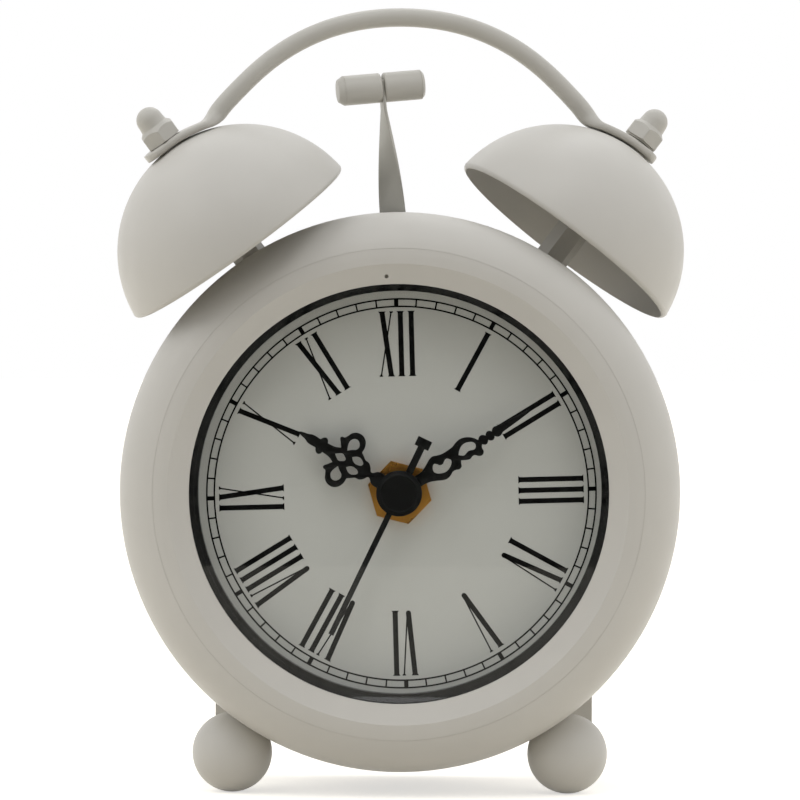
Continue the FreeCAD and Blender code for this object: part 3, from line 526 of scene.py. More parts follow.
@dataclass
class Lathe:
    """Turns a closed profile of corners about an axis.

    Attributes:
        name: The piece's name.
        steps: Faces round the axis.
        arc_step: Degrees of arc to an edge of the profile.
        soft_segments: Edges to a rounded corner of the profile.
    """

    name: str
    steps: int = 128
    arc_step: float = 3.0
    soft_segments: int = 4

    def turn(self, profile: Sequence[Corner]) -> bpy.types.Object:
        """Draw the profile and spin it about Z.

        Args:
            profile: Its corners, in order. The last one joins the first.

        Returns:
            The turned piece, about the origin.
        """
        clear_selection()
        bpy.ops.mesh.primitive_plane_add(size=MM)
        piece = bpy.context.object
        piece.name = self.name
        bpy.ops.object.mode_set(mode="EDIT")
        bpy.ops.mesh.select_all(action="SELECT")
        bpy.ops.mesh.merge(type="CENTER")
        first = profile[0]
        bpy.ops.transform.translate(value=(first.radius * MM, 0, first.height * MM))
        for before, after in zip(profile, (*profile[1:], first)):
            self.run(before, after)
        bpy.ops.mesh.select_all(action="SELECT")
        bpy.ops.mesh.remove_doubles(threshold=WELD)
        for corner in profile:
            if corner.soft > 0:
                spot = Vector((corner.radius, 0, corner.height)) * MM
                pick_where(piece, lambda co: (co - spot).length < NEAR)
                bpy.ops.mesh.bevel(offset_type="OFFSET", offset=corner.soft * MM,
                                   segments=self.soft_segments, affect="VERTICES")
        bpy.ops.mesh.select_all(action="SELECT")
        bpy.ops.mesh.spin(steps=self.steps, angle=2 * math.pi, center=(0, 0, 0), axis=(0, 0, 1))
        bpy.ops.mesh.select_all(action="SELECT")
        bpy.ops.mesh.remove_doubles(threshold=WELD)
        bpy.ops.mesh.normals_make_consistent(inside=False)
        bpy.ops.object.mode_set(mode="OBJECT")
        smooth(piece)
        return piece

    def run(self, before: Corner, after: Corner) -> None:
        """Draw on from the selected vertex to the next corner, straight or round.

        Args:
            before: The corner just drawn.
            after: The next one.
        """
        a = Vector((before.radius, 0, before.height)) * MM
        b = Vector((after.radius, 0, after.height)) * MM
        if after.bulge == 0:
            bpy.ops.mesh.extrude_vertices_move(TRANSFORM_OT_translate={"value": tuple(b - a)})
            return
        turn = math.radians(after.bulge)
        chord = b - a
        normal = Vector((0, 1, 0))
        side = normal.cross(chord.normalized())
        centre = (a + b) / 2 + side * (chord.length / 2 / math.tan(turn / 2))
        # The operator turns against a right-hand screw along its axis.
        bpy.ops.mesh.spin(steps=max(2, round(abs(after.bulge) / self.arc_step)), angle=-turn,
                          center=tuple(centre), axis=tuple(normal))


# ------------------------------------------------------------------ bells
def top_frame() -> Matrix:
    """The frame of the bells, handle and hammer: on the drum's axis, turned about the vertical."""
    return Matrix.Translation(Vector((0, 0, AXIS_Z * MM))) @ Matrix.Rotation(TOP_TURN, 4, "Z")


@dataclass(frozen=True)
class Stand:
    """How one bell stands.

    Attributes:
        name: The node it stands for.
        side: 1 for the right bell, -1 for the left.
        rise: Its sphere's middle above the drum's axis, in millimetres.
        tilt: Its axis outwards from upright, in degrees.
        seat: Where its nut sits, from the sphere's middle.
        nut_height: Its nut, foot to crown.
    """

    name: str
    side: int
    rise: float
    tilt: float
    seat: float
    nut_height: float


STANDS = (
    Stand("left_bell", side=-1, rise=47.8, tilt=36.5, seat=27.3, nut_height=8.0),
    Stand("right_bell", side=1, rise=48.2, tilt=37.5, seat=27.85, nut_height=7.9))


@dataclass
class Bells:
    """Both bells and their acorn nuts.

    Attributes:
        shop: Where the finishes come from.
        radius: Of a bell's sphere, in millimetres, as are the rest.
        wall: The sheet's thickness.
        rim: The rim's edge, outwards from the sphere's middle.
        curl: Radius of the rim's curl.
        curl_arc: How far round the curl goes, in degrees.
        hole: Radius of the hole for the stud.
        centre_x: The sphere's middle, sideways from the drum's axis.
        nut_flats: Across a nut's flats.
        nut_spin: Its turn on the stud, in degrees.
        nut_foot: Height of the round foot under its hexagon.
        nut_chamfer: The hexagon's lower chamfer.
        nut_proud: How far the turned blank stands past the hexagon's corners.
        nut_flats_top: Where the flats' slope to the dome starts.
        nut_slope_top: Where that slope ends.
        nut_bore: Depth of its blind hole.
        nut_edge: How much its edges are broken.
        stock_run: Length of the hexagonal bar that it is cut from.
        stock_middle: The middle of that bar above the nut's foot.
        dome: Radius of its dome.
        dome_step: How far the foot and the slope's end stand past the dome's radius.
    """

    shop: PaintShop
    radius: float = 25.7
    wall: float = 0.9
    rim: float = 2.0
    curl: float = 0.85
    curl_arc: float = 72.0
    hole: float = 2.0
    centre_x: float = 32.0
    nut_flats: float = 7.0
    nut_spin: float = 52.0
    nut_foot: float = 0.3
    nut_chamfer: float = 0.3
    nut_proud: float = 0.05
    nut_flats_top: float = 2.7
    nut_slope_top: float = 3.95
    nut_bore: float = 5.4
    nut_edge: float = 0.18
    stock_run: float = 12.0
    stock_middle: float = 5.0
    dome: float = 2.7
    dome_step: tuple[float, float] = (0.1, 0.12)

    def build(self) -> None:
        """Make both cups and both nuts."""
        left, right = (stand.name + "_cup" for stand in STANDS)
        cup = self.cup(left)
        for stand, bell in zip(STANDS, (cup, copied(cup, right))):
            seat(bell, self.place(stand, 0.0))
            self.shop.coat(bell, Paint.ENAMEL)
            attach(bell, "clock")
            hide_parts(stand.name)
            LOG.info("made %s", bell.name)
        nuts = [self.nut(stand) for stand in STANDS]
        hold(nuts[0])
        nuts[1].select_set(True)
        bpy.ops.object.join()
        nuts[0].name = "domed_nuts"
        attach(nuts[0], "clock")
        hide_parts("acorn_nuts")
        LOG.info("made %s", nuts[0].name)

    def place(self, stand: Stand, distance: float, spin: float = 0.0) -> Matrix:
        """The place of a thing on a bell's axis.

        Args:
            stand: How the bell stands.
            distance: Outwards from the middle of the bell's sphere, in millimetres.
            spin: Degrees about the axis.

        Returns:
            The placing matrix.
        """
        middle = Matrix.Translation(Vector((stand.side * self.centre_x, 0, stand.rise)) * MM)
        lean = Matrix.Rotation(math.radians(stand.side * stand.tilt), 4, "Y")
        out = Matrix.Translation(Vector((0, 0, distance * MM)))
        return top_frame() @ middle @ lean @ out @ Matrix.Rotation(math.radians(spin), 4, "Z")

    def cup(self, name: str) -> bpy.types.Object:
        """Turn one bell: a pressed cup with a rounded rim and a hole for the stud.

        Args:
            name: The bell's name.

        Returns:
            The bell, about its sphere's middle.
        """
        outer, inner = self.radius, self.radius - self.wall
        shoulder = self.rim + self.curl
        arc_out = math.degrees(math.acos(self.hole / outer) - math.asin(shoulder / outer))
        arc_in = math.degrees(math.acos(self.hole / inner) - math.asin(self.rim / inner))
        return Lathe(name, steps=160, arc_step=2.0).turn([
            Corner(outer - self.curl, self.rim),
            Corner(math.sqrt(outer ** 2 - shoulder ** 2), shoulder, bulge=-self.curl_arc),
            Corner(self.hole, math.sqrt(outer ** 2 - self.hole ** 2), bulge=-arc_out),
            Corner(self.hole, math.sqrt(inner ** 2 - self.hole ** 2)),
            Corner(math.sqrt(inner ** 2 - self.rim ** 2), self.rim, bulge=arc_in)])

    def nut(self, stand: Stand) -> bpy.types.Object:
        """Make one acorn nut: a hexagon turned to a chamfer and a dome, bored blind.

        Args:
            stand: How its bell stands.

        Returns:
            The nut.
        """
        across = self.nut_flats / math.sqrt(3)
        blank = across + self.nut_proud
        base, height = self.nut_foot, stand.nut_height
        foot, slope = (self.dome + step for step in self.dome_step)
        shape = Lathe("domed_nut", steps=96, arc_step=6.0).turn([
            Corner(self.hole, 0.0), Corner(foot, 0.0), Corner(foot, base),
            Corner(across - self.nut_chamfer, base, soft=0.1), Corner(blank, base + self.nut_chamfer),
            Corner(blank, self.nut_flats_top), Corner(slope, self.nut_slope_top, soft=0.1),
            Corner(self.dome, height - self.dome), Corner(0.0, height, bulge=-90.0),
            Corner(0.0, self.nut_bore), Corner(self.hole, self.nut_bore)])
        clear_selection()
        bpy.ops.mesh.primitive_cylinder_add(vertices=6, radius=across * MM, depth=self.stock_run * MM,
                                            location=(0, 0, self.stock_middle * MM))
        stock = bpy.context.object
        modify(stock, "BEVEL", width=self.nut_edge * MM, segments=3, limit_method="ANGLE")
        modify(shape, "BOOLEAN", operation="INTERSECT", object=stock, solver="EXACT")
        bpy.data.objects.remove(stock)
        smooth(shape, 35)
        seat(shape, self.place(stand, stand.seat, self.nut_spin))
        self.shop.coat(shape, Paint.FITTING)
        return shape


# ------------------------------------------------------------------ handle
@dataclass
class Bend:
    """A point of the handle's line, in the plane of the handle.

    Attributes:
        x: From the middle, in millimetres.
        rise: Above the drum's axis.
        falls: Which way the line runs there, in degrees below level.
        reach: Length of the Bezier handles there.
    """

    x: float
    rise: float
    falls: float
    reach: tuple[float, float]


@dataclass
class Handle:
    """The carry handle: a rod whose ends are pressed flat and bent on to the bells.

    Attributes:
        shop: Where the finishes come from.
        rod: Radius of the rod, in millimetres, as are the rest.
        tab_half: Half the thickness of a pressed end, or tab.
        tab_width: Its width.
        tab_run: Its length from the tip.
        tab_cuts: Cuts across it, so that it can bend.
        tip_shares: Where the round tip's sections stand, in shares of its reach from the hole.
        neck_run: Length of the neck between tab and rod.
        neck_steps: Sections of the neck, less one.
        bow_cuts: Cuts across the rod between the necks.
        hole: Radius of the hole for the stud.
        hole_from_tip: Its middle, from the tip.
        drill_run: Length of the drill that bores it.
        roll: How far the whole handle leans to the left, in degrees.
        roll_rise: The middle of that lean above the drum's axis.
        bends: The line of its right half, from the middle outwards.
    """

    shop: PaintShop
    rod: float = 1.87
    tab_half: float = 0.8
    tab_width: float = 8.0
    tab_run: float = 13.3
    tab_cuts: int = 12
    tip_shares: tuple[float, ...] = (0.985, 0.93, 0.85, 0.74, 0.6, 0.35, 0.0)
    neck_run: float = 4.4
    neck_steps: int = 8
    bow_cuts: int = 98
    hole: float = 2.0
    hole_from_tip: float = 4.95
    drill_run: float = 6.0
    roll: float = 0.25
    roll_rise: float = 75.0
    bends: tuple[Bend, ...] = (
        Bend(0.0, 95.13, 0.0, (11.8, 11.8)), Bend(30.6, 83.35, 43.0, (11.8, 2.2)),
        Bend(36.0, 77.9, 47.5, (2.2, 2.4)), Bend(40.5, 73.35, 22.0, (2.0, 2.4)),
        Bend(48.17, 69.3, 37.5, (3.0, 1.3)), Bend(52.1, 66.28, 37.5, (1.4, 1.4)))

    def build(self) -> None:
        """Draw the handle straight, bore it and bend it along its line."""
        line = self.line()
        length = line.data.splines[0].calc_length() / MM
        piece = self.straight(length)
        self.bore(piece, length)
        hold(piece)
        bend = piece.modifiers.new("bend", "CURVE")
        bend.object = line
        bend.deform_axis = "POS_X"
        bpy.ops.object.modifier_apply(modifier=bend.name)
        bpy.data.objects.remove(line)
        smooth(piece, 40)
        pivot = Matrix.Translation(Vector((0, 0, self.roll_rise * MM)))
        roll = Matrix.Rotation(math.radians(-self.roll), 4, "Y")
        seat(piece, top_frame() @ pivot @ roll @ pivot.inverted())
        self.shop.coat(piece, Paint.FITTING)
        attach(piece, "clock")
        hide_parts("carry_handle")
        LOG.info("made %s, %.1f mm of rod", piece.name, length)

    def line(self) -> bpy.types.Object:
        """Draw the line that the handle follows, from its left tip to its right one.

        Returns:
            The curve.
        """
        clear_selection()
        bpy.ops.curve.primitive_bezier_curve_add(radius=MM)
        line = bpy.context.object
        spline = line.data.splines[0]
        line.data.resolution_u = 48
        right = [(b.x, b.rise, math.radians(b.falls), b.reach) for b in self.bends]
        left = [(-x, rise, -falls, (after, before))
                for x, rise, falls, (before, after) in reversed(right[1:])]
        spline.bezier_points.add(len(left) + len(right) - 2)
        for point, (x, rise, falls, (before, after)) in zip(spline.bezier_points, left + right):
            way = Vector((math.cos(falls), 0, -math.sin(falls)))
            middle = Vector((x, 0, rise))
            point.handle_left_type = point.handle_right_type = "FREE"
            point.co = middle * MM
            point.handle_left = (middle - way * before) * MM
            point.handle_right = (middle + way * after) * MM
        return line

    def rings(self, length: float) -> list[tuple[float, float, float, int]]:
        """List the cross-sections: where, half thickness, spread and cuts up to the next.

        Args:
            length: The whole length, in millimetres.

        Returns:
            The sections, from the left tip to the right one.
        """
        reach = self.hole_from_tip
        widest = self.tab_width / 2 - self.tab_half
        near = []
        for share in self.tip_shares:
            half_width = math.sqrt(1 - share ** 2) * reach
            flat = min(widest, max(0.0, half_width - self.tab_half))
            near.append((reach * (1 - share), self.tab_half, flat, 0))
        near[-1] = (*near[-1][:3], self.tab_cuts)  # from the hole to the neck
        for step in range(self.neck_steps + 1):
            share = step / self.neck_steps
            ease = share * share * (3 - 2 * share)
            half = self.tab_half + (self.rod - self.tab_half) * ease
            near.append((self.tab_run + self.neck_run * share, half, widest * (1 - ease), 0))
        far = [(length - x, half, flat, 0) for x, half, flat, _ in reversed(near)]
        far[self.neck_steps] = (*far[self.neck_steps][:3], self.tab_cuts)  # from the neck to the hole
        near[-1] = (*near[-1][:3], self.bow_cuts)  # from neck to neck
        return near + far

    def straight(self, length: float) -> bpy.types.Object:
        """Draw the handle before it is bent, ring by ring.

        Args:
            length: Its whole length, in millimetres.

        Returns:
            The straight handle, along X.
        """
        clear_selection()
        bpy.ops.mesh.primitive_plane_add(size=MM)
        piece = bpy.context.object
        piece.name = "handle_rod"
        bpy.ops.object.mode_set(mode="EDIT")
        bpy.ops.mesh.select_all(action="SELECT")
        bpy.ops.mesh.delete(type="VERT")
        rings = self.rings(length)
        before: Optional[tuple[float, int]] = None
        for x, half, flat, cuts in rings:
            bpy.ops.mesh.primitive_circle_add(vertices=32, radius=half * MM, location=(x * MM, 0, 0),
                                              rotation=(0, math.pi / 2, 0))
            for side in (-1, 1):
                pick_where(piece, lambda co: abs(co.x / MM - x) < SAME_MM and co.y * side / MM > BESIDE_MM)
                bpy.ops.transform.translate(value=(0, side * flat * MM, 0))
            if before is not None:
                pick_where(piece, lambda co: min(abs(co.x / MM - x), abs(co.x / MM - before[0])) < SAME_MM)
                bpy.ops.mesh.bridge_edge_loops(number_cuts=before[1])
            before = (x, cuts)
        for x in (rings[0][0], rings[-1][0]):
            pick_where(piece, lambda co: abs(co.x / MM - x) < SAME_MM)
            bpy.ops.mesh.edge_face_add()
        bpy.ops.mesh.select_all(action="SELECT")
        bpy.ops.mesh.normals_make_consistent(inside=False)
        bpy.ops.object.mode_set(mode="OBJECT")
        return piece

    def bore(self, piece: bpy.types.Object, length: float) -> None:
        """Drill the holes for the studs through both tabs.

        Args:
            piece: The straight handle.
            length: Its whole length, in millimetres.
        """
        for x in (self.hole_from_tip, length - self.hole_from_tip):
            clear_selection()
            bpy.ops.mesh.primitive_cylinder_add(vertices=48, radius=self.hole * MM,
                                                depth=self.drill_run * MM, location=(x * MM, 0, 0))
            drill = bpy.context.object
            modify(piece, "BOOLEAN", operation="DIFFERENCE", object=drill, solver="EXACT")
            bpy.data.objects.remove(drill)


# ------------------------------------------------------------------ hammer
@dataclass
class Hammer:
    """The hammer: a strip twisted a quarter turn, with its armature below and two beads above.

    Attributes:
        shop: Where the finishes come from.
        pivot_x: The pivot, sideways from the drum's axis, in millimetres, as are the rest.
        pivot_rise: The pivot above the drum's axis.
        lean: The hammer's lean to the left at rest, in degrees.
        head: The beads' middle above the pivot.
        past_head: How far the strip reaches past that.
        head_radius: Radius of the beads.
        beads: How far the left and the right bead reach from the strip.
        chamfers: The chamfer of each one's end, along and across.
        bead_edge: The chamfer of its other end.
        groove: Depth of the groove that starts the chamfer.
        rivet: Radius of the blind hole for the rivet.
        blind: How much of the bead that hole leaves whole.
        width: Width of the strip at its foot.
        top_width: Its width at its top.
        thick: Its thickness.
        strip_edge: How much its edges are broken.
        strip_cuts: Short lengths that it is cut into, so that it can twist.
        twist: Where its quarter turn starts and ends, above the pivot.
        foot: Its lower end.
        eye: Radius of the eye that it hangs on.
        eye_half: Half the eye's length.
        pin: Radius of the pivot pin.
        armature: Width, depth and height of the armature.
        armature_edge: How much its edges are broken.
        armature_drop: Its lower face below the pivot.
    """

    shop: PaintShop
    pivot_x: float = -1.3
    pivot_rise: float = 48.2
    lean: float = 5.2
    head: float = 32.9
    past_head: float = 1.6
    head_radius: float = 3.0
    beads: tuple[float, float] = (8.8, 8.2)
    chamfers: tuple[tuple[float, float], tuple[float, float]] = ((1.25, 0.75), (0.65, 0.6))
    bead_edge: float = 0.25
    groove: float = 0.09
    rivet: float = 0.9
    blind: float = 2.0
    width: float = 5.4
    top_width: float = 3.7
    thick: float = 0.6
    strip_edge: float = 0.07
    strip_cuts: int = 48
    twist: tuple[float, float] = (5.0, 28.5)
    foot: float = -9.0
    eye: float = 2.2
    eye_half: float = 2.1
    pin: float = 1.05
    armature: tuple[float, float, float] = (3.0, 6.0, 4.4)
    armature_edge: float = 0.3
    armature_drop: float = 12.4

    def place(self) -> Matrix:
        """The hammer's place at rest: leant on its pivot."""
        pivot = Matrix.Translation(Vector((self.pivot_x, 0, self.pivot_rise)) * MM)
        return top_frame() @ pivot @ Matrix.Rotation(math.radians(-self.lean), 4, "Y")

    def build(self) -> None:
        """Make the arm and the beads."""
        arm = self.strip()
        others = [self.bearing(), self.block()]
        hold(arm)
        for other in others:
            other.select_set(True)
        bpy.ops.object.join()
        smooth(arm, 40)
        beads = [self.bead(way, length, chamfer)
                 for way, length, chamfer in zip((-1, 1), self.beads, self.chamfers)]
        hold(beads[0])
        beads[1].select_set(True)
        bpy.ops.object.join()
        beads[0].name = "hammer_head"
        for piece, node, paint in ((arm, "hammer_arm", Paint.STRIP),
                                   (beads[0], "hammer_beads", Paint.FITTING)):
            seat(piece, self.place())
            self.shop.coat(piece, paint)
            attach(piece, "hammer")
            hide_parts(node)
            LOG.info("made %s", piece.name)

    def strip(self) -> bpy.types.Object:
        """Draw the strip flat, narrow it upwards and twist it.

        Returns:
            The strip, with its pivot at the origin.
        """
        low, high = self.foot, self.head + self.past_head
        start, end = self.twist
        clear_selection()
        bpy.ops.mesh.primitive_plane_add(size=MM, location=(0, 0, (low - start) * MM))
        piece = bpy.context.object
        piece.name = "hammer_strip"
        bpy.ops.object.transform_apply(location=True)
        bpy.ops.object.mode_set(mode="EDIT")
        bpy.ops.mesh.select_all(action="SELECT")
        bpy.ops.transform.resize(value=(self.width, self.thick, 1))
        bpy.ops.mesh.extrude_region_move(TRANSFORM_OT_translate={"value": (0, 0, (start - low) * MM)})
        bpy.ops.mesh.extrude_region_move(TRANSFORM_OT_translate={"value": (0, 0, (high - start) * MM)})
        bpy.ops.transform.resize(value=(self.top_width / self.width, 1, 1))
        bpy.ops.mesh.select_all(action="SELECT")
        bpy.ops.mesh.normals_make_consistent(inside=False)
        bpy.ops.mesh.select_all(action="DESELECT")
        bpy.ops.object.mode_set(mode="OBJECT")
        modify(piece, "BEVEL", width=self.strip_edge * MM, segments=2, limit_method="ANGLE")
        self.cut_across(piece)
        span = high - low
        hold(piece)
        turn = piece.modifiers.new("twist", "SIMPLE_DEFORM")
        turn.deform_method = "TWIST"
        turn.deform_axis = "Z"
        turn.angle = math.radians(-90)
        turn.limits = ((start - low) / span, (end - low) / span)
        bpy.ops.object.modifier_apply(modifier=turn.name)
        seat(piece, Matrix.Translation(Vector((0, 0, start * MM))))
        return piece

    def cut_across(self, piece: bpy.types.Object) -> None:
        """Cut the strip across into short lengths, so that it can twist.

        Args:
            piece: The strip, with the start of its twist at the origin.
        """
        high = (self.head + self.past_head - self.twist[0]) * MM
        for i in range(1, self.strip_cuts):
            bpy.ops.object.mode_set(mode="EDIT")
            bpy.ops.mesh.select_all(action="SELECT")
            bpy.ops.mesh.bisect(plane_co=(0, 0, high * i / self.strip_cuts), plane_no=(0, 0, 1))
            bpy.ops.object.mode_set(mode="OBJECT")

    def bearing(self) -> bpy.types.Object:
        """Turn the eye that the hammer hangs on.

        Returns:
            The eye, about the pivot.
        """
        eye = Lathe("hammer_eye", steps=48).turn([
            Corner(self.pin, -self.eye_half), Corner(self.eye, -self.eye_half, soft=0.15),
            Corner(self.eye, self.eye_half, soft=0.15), Corner(self.pin, self.eye_half)])
        seat(eye, Matrix.Rotation(-math.pi / 2, 4, "X"))
        return eye

    def block(self) -> bpy.types.Object:
        """Make the soft-iron armature, its edges broken.

        Returns:
            The armature, below the pivot.
        """
        width, depth, height = self.armature
        clear_selection()
        bpy.ops.mesh.primitive_cube_add(size=MM, location=(0, 0, (height / 2 - self.armature_drop) * MM))
        block = bpy.context.object
        bpy.ops.transform.resize(value=(width, depth, height))
        bpy.ops.object.transform_apply(location=True, scale=True)
        modify(block, "BEVEL", width=self.armature_edge * MM, segments=3, limit_method="ANGLE")
        return block

    def bead(self, way: int, length: float, chamfer: tuple[float, float]) -> bpy.types.Object:
        """Turn one bead on the rivet, with a fine groove where its end is chamfered.

        Args:
            way: 1 for the right bead, -1 for the left.
            length: How far it reaches from the strip.
            chamfer: The end's chamfer, along and across.

        Returns:
            The bead, at the strip's head.
        """
        radius, edge, fine = self.head_radius, self.bead_edge, self.groove
        shoulder = length - chamfer[0]
        bead = Lathe("hammer_bead", steps=72).turn([
            Corner(self.rivet, 0.0), Corner(radius - edge, 0.0, soft=0.1), Corner(radius, edge, soft=0.1),
            Corner(radius, shoulder - fine), Corner(radius - fine, shoulder),
            Corner(radius, shoulder + fine), Corner(radius - chamfer[1], length, soft=0.06),
            Corner(0.0, length), Corner(0.0, length - self.blind),
            Corner(self.rivet, length - self.blind)])
        turn = Matrix.Rotation(way * math.pi / 2, 4, "Y")
        start = Vector((way * self.thick / 2, 0, self.head))
        seat(bead, Matrix.Translation(start * MM) @ turn)
        return bead


# ------------------------------------------------------------------ dial
def dial_place(depth: float) -> Matrix:
    """The place of a thing drawn flat, as read: its X is right, its Y up and its Z out of the dial.

    Args:
        depth: Into the clock from the bezel's crest.

    Returns:
        The placing matrix.
    """
    return Matrix.Translation(place(0, depth, 0)) @ Matrix.Rotation(math.pi / 2, 4, "X")


@dataclass
class DialPrint:
    """The black print on the dial: minute track, hour blocks and Roman numerals.

    Attributes:
        shop: Where the finishes come from.
        depth: The dial's face, into the clock from the bezel's crest, in millimetres, as are the rest.
        ink: Thickness of the ink.
        turn: How far the print sits turned anticlockwise, in degrees.
        shift: How far off the axis it sits, to the right and upwards.
        track: Radii of the minute track's two lines, at their outer edges.
        track_steps: Edges round each line.
        line: Width of the track's lines.
        block: Width of its hour blocks.
        head: Radius at the numerals' heads.
        foot: Radius at their feet.
        thick: Width of a thick stroke.
        thin: Width of a thin one.
        serif: Length of the slab across a thick stroke's end.
        serif_height: Its height.
        thin_share: Length of a thin stroke's slab, against that.
        steps: From one letter's start to the next one's, by letter.
        vee_foot: Where a V's thick stroke ends, across from its start.
        vee_head: Where its thin stroke ends.
        vee_lead: Where its thin stroke starts, across from its foot.
        vee_rises: Above the numerals' feet: its thick stroke, round foot and thin stroke.
        cross_foot: Where an X's thick stroke ends, across from its start.
        cross_thin: Where its thin stroke starts and ends, across from there.
    """

    shop: PaintShop
    depth: float = 12.0
    ink: float = 0.03
    turn: float = 1.7
    shift: tuple[float, float] = (0.28, -0.28)
    track: tuple[float, float] = (37.5, 39.0)
    track_steps: int = 240
    line: float = 0.32
    block: float = 0.85
    head: float = 36.4
    foot: float = 23.4
    thick: float = 1.02
    thin: float = 0.28
    serif: float = 1.5
    serif_height: float = 0.34
    thin_share: float = 0.5
    steps: tuple[tuple[str, float], ...] = (("I", 2.15), ("V", 3.7), ("X", 3.66))
    vee_foot: float = 1.05
    vee_head: float = 2.2
    vee_lead: float = 0.25
    vee_rises: tuple[float, float, float] = (0.45, 0.5, 0.8)
    cross_foot: float = 1.6
    cross_thin: tuple[float, float] = (-0.45, 1.85)

    def build(self) -> None:
        """Print the dial and lay the ink on it."""
        clear_selection()
        bpy.ops.mesh.primitive_circle_add(vertices=self.track_steps, radius=self.track[1] * MM)
        piece = bpy.context.object
        piece.name = "dial_ink"
        bpy.ops.object.mode_set(mode="EDIT")
        bpy.ops.mesh.select_all(action="SELECT")
        self.widen(self.track[1])
        bpy.ops.mesh.primitive_circle_add(vertices=self.track_steps, radius=self.track[0] * MM)
        self.widen(self.track[0])
        for count, width in ((60, self.line), (12, self.block)):
            self.bar(piece, (0, self.track[0] - self.line / 2), (0, self.track[1] - self.line / 2), width)
            self.pick_last(piece, 4)
            bpy.ops.mesh.spin(steps=count, angle=2 * math.pi, dupli=True, center=(0, 0, 0), axis=(0, 0, 1))
        numerals = ("I", "II", "III", "IV", "V", "VI", "VII", "VIII", "IX", "X", "XI", "XII")
        for hour, letters in enumerate(numerals, start=1):
            self.numeral(piece, letters, -360.0 / len(numerals) * hour)
        bpy.ops.mesh.select_all(action="SELECT")
        bpy.ops.mesh.normals_make_consistent(inside=False)
        bpy.ops.object.mode_set(mode="OBJECT")
        modify(piece, "SOLIDIFY", thickness=self.ink * MM, offset=1.0)
        shift = Matrix.Translation(Vector((*self.shift, 0)) * MM)
        seat(piece, dial_place(self.depth) @ shift @ Matrix.Rotation(math.radians(self.turn), 4, "Z"))
        self.shop.coat(piece, Paint.INK)
        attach(piece, "clock")
        LOG.info("made %s", piece.name)

    def widen(self, radius: float) -> None:
        """Make the selected circle a line of the track by widening it inwards.

        Args:
            radius: The circle's radius.
        """
        share = (radius - self.line) / radius
        bpy.ops.mesh.extrude_edges_move()
        bpy.ops.transform.resize(value=(share, share, 1), center_override=(0, 0, 0))

    def bar(self, piece: bpy.types.Object, foot: tuple[float, float], head: tuple[float, float],
            width: float, flare: float = 1.0) -> None:
        """Draw one bar of ink.

        Args:
            piece: The print being drawn.
            foot: Middle of its lower end.
            head: Middle of its upper end.
            width: Its width.
            flare: How much wider its upper end is than its lower one.
        """
        middle = (foot[1] + head[1]) / 2
        bpy.ops.mesh.primitive_plane_add(size=MM, location=(foot[0] * MM, middle * MM, 0))
        bpy.ops.transform.resize(value=(width, head[1] - foot[1], 1))
        self.pick_last(piece, 4, middle * MM)
        bpy.ops.transform.translate(value=((head[0] - foot[0]) * MM, 0, 0))
        bpy.ops.transform.resize(value=(flare, 1, 1))

    def pick_last(self, piece: bpy.types.Object, count: int, above: float = -1.0) -> None:
        """Select the vertices drawn last.

        Args:
            piece: The print being drawn.
            count: How many of them.
            above: Only those higher than this, in metres.
        """
        bpy.ops.mesh.select_all(action="DESELECT")
        bpy.ops.object.mode_set(mode="OBJECT")
        for vertex in piece.data.vertices[-count:]:
            vertex.select = vertex.co.y > above
        bpy.ops.object.mode_set(mode="EDIT")

    def numeral(self, piece: bpy.types.Object, letters: str, turn: float) -> None:
        """Draw one numeral at the top of the dial and turn it to its hour.

        Args:
            piece: The print being drawn.
            letters: The numeral.
            turn: Its hour, in degrees, anticlockwise.
        """
        advance = dict(self.steps)
        extent = {"I": 0.0, "V": self.vee_head, "X": self.cross_thin[1]}
        draw = {"I": self.upright, "V": self.vee, "X": self.cross}
        before = len(piece.data.vertices)
        x = -(sum(advance[letter] for letter in letters[:-1]) + extent[letters[-1]]) / 2
        for letter in letters:
            draw[letter](piece, x)
            x += advance[letter]
        bpy.ops.object.mode_set(mode="OBJECT")
        bpy.ops.object.mode_set(mode="EDIT")
        self.pick_last(piece, len(piece.data.vertices) - before)
        # Without a window the operator turns the other way.
        bpy.ops.transform.rotate(value=-math.radians(turn), orient_axis="Z", center_override=(0, 0, 0))

    def slab(self, piece: bpy.types.Object, x: float, at_head: bool, share: float = 1.0) -> None:
        """Draw the slab at the end of a stroke, flared away from it.

        Args:
            piece: The print being drawn.
            x: The stroke's middle there.
            at_head: Whether it is the upper end.
            share: Its width against a full slab.
        """
        rise = self.serif_height
        flare = self.serif / self.thick
        if at_head:
            self.bar(piece, (x, self.head - rise), (x, self.head), self.thick * share, flare)
        else:
            self.bar(piece, (x, self.foot), (x, self.foot + rise), self.serif * share, 1 / flare)

    def upright(self, piece: bpy.types.Object, x: float) -> None:
        """Draw an I.

        Args:
            piece: The print being drawn.
            x: Its middle.
        """
        self.bar(piece, (x, self.foot), (x, self.head), self.thick)
        self.slab(piece, x, True)
        self.slab(piece, x, False)

    def vee(self, piece: bpy.types.Object, x: float) -> None:
        """Draw a V: its foot is round, and its thin stroke rises from it.

        Args:
            piece: The print being drawn.
            x: Where its thick stroke starts.
        """
        foot, head = x + self.vee_foot, x + self.vee_head
        thick_rise, round_rise, thin_rise = (self.foot + rise for rise in self.vee_rises)
        self.bar(piece, (foot, thick_rise), (x, self.head), self.thick)
        self.slab(piece, x, True)
        bpy.ops.mesh.primitive_circle_add(vertices=24, radius=self.thick / 2 * MM, fill_type="NGON",
                                          location=(foot * MM, round_rise * MM, 0))
        self.bar(piece, (foot + self.vee_lead, thin_rise), (head, self.head), self.thin)
        self.slab(piece, head, True, self.thin_share)

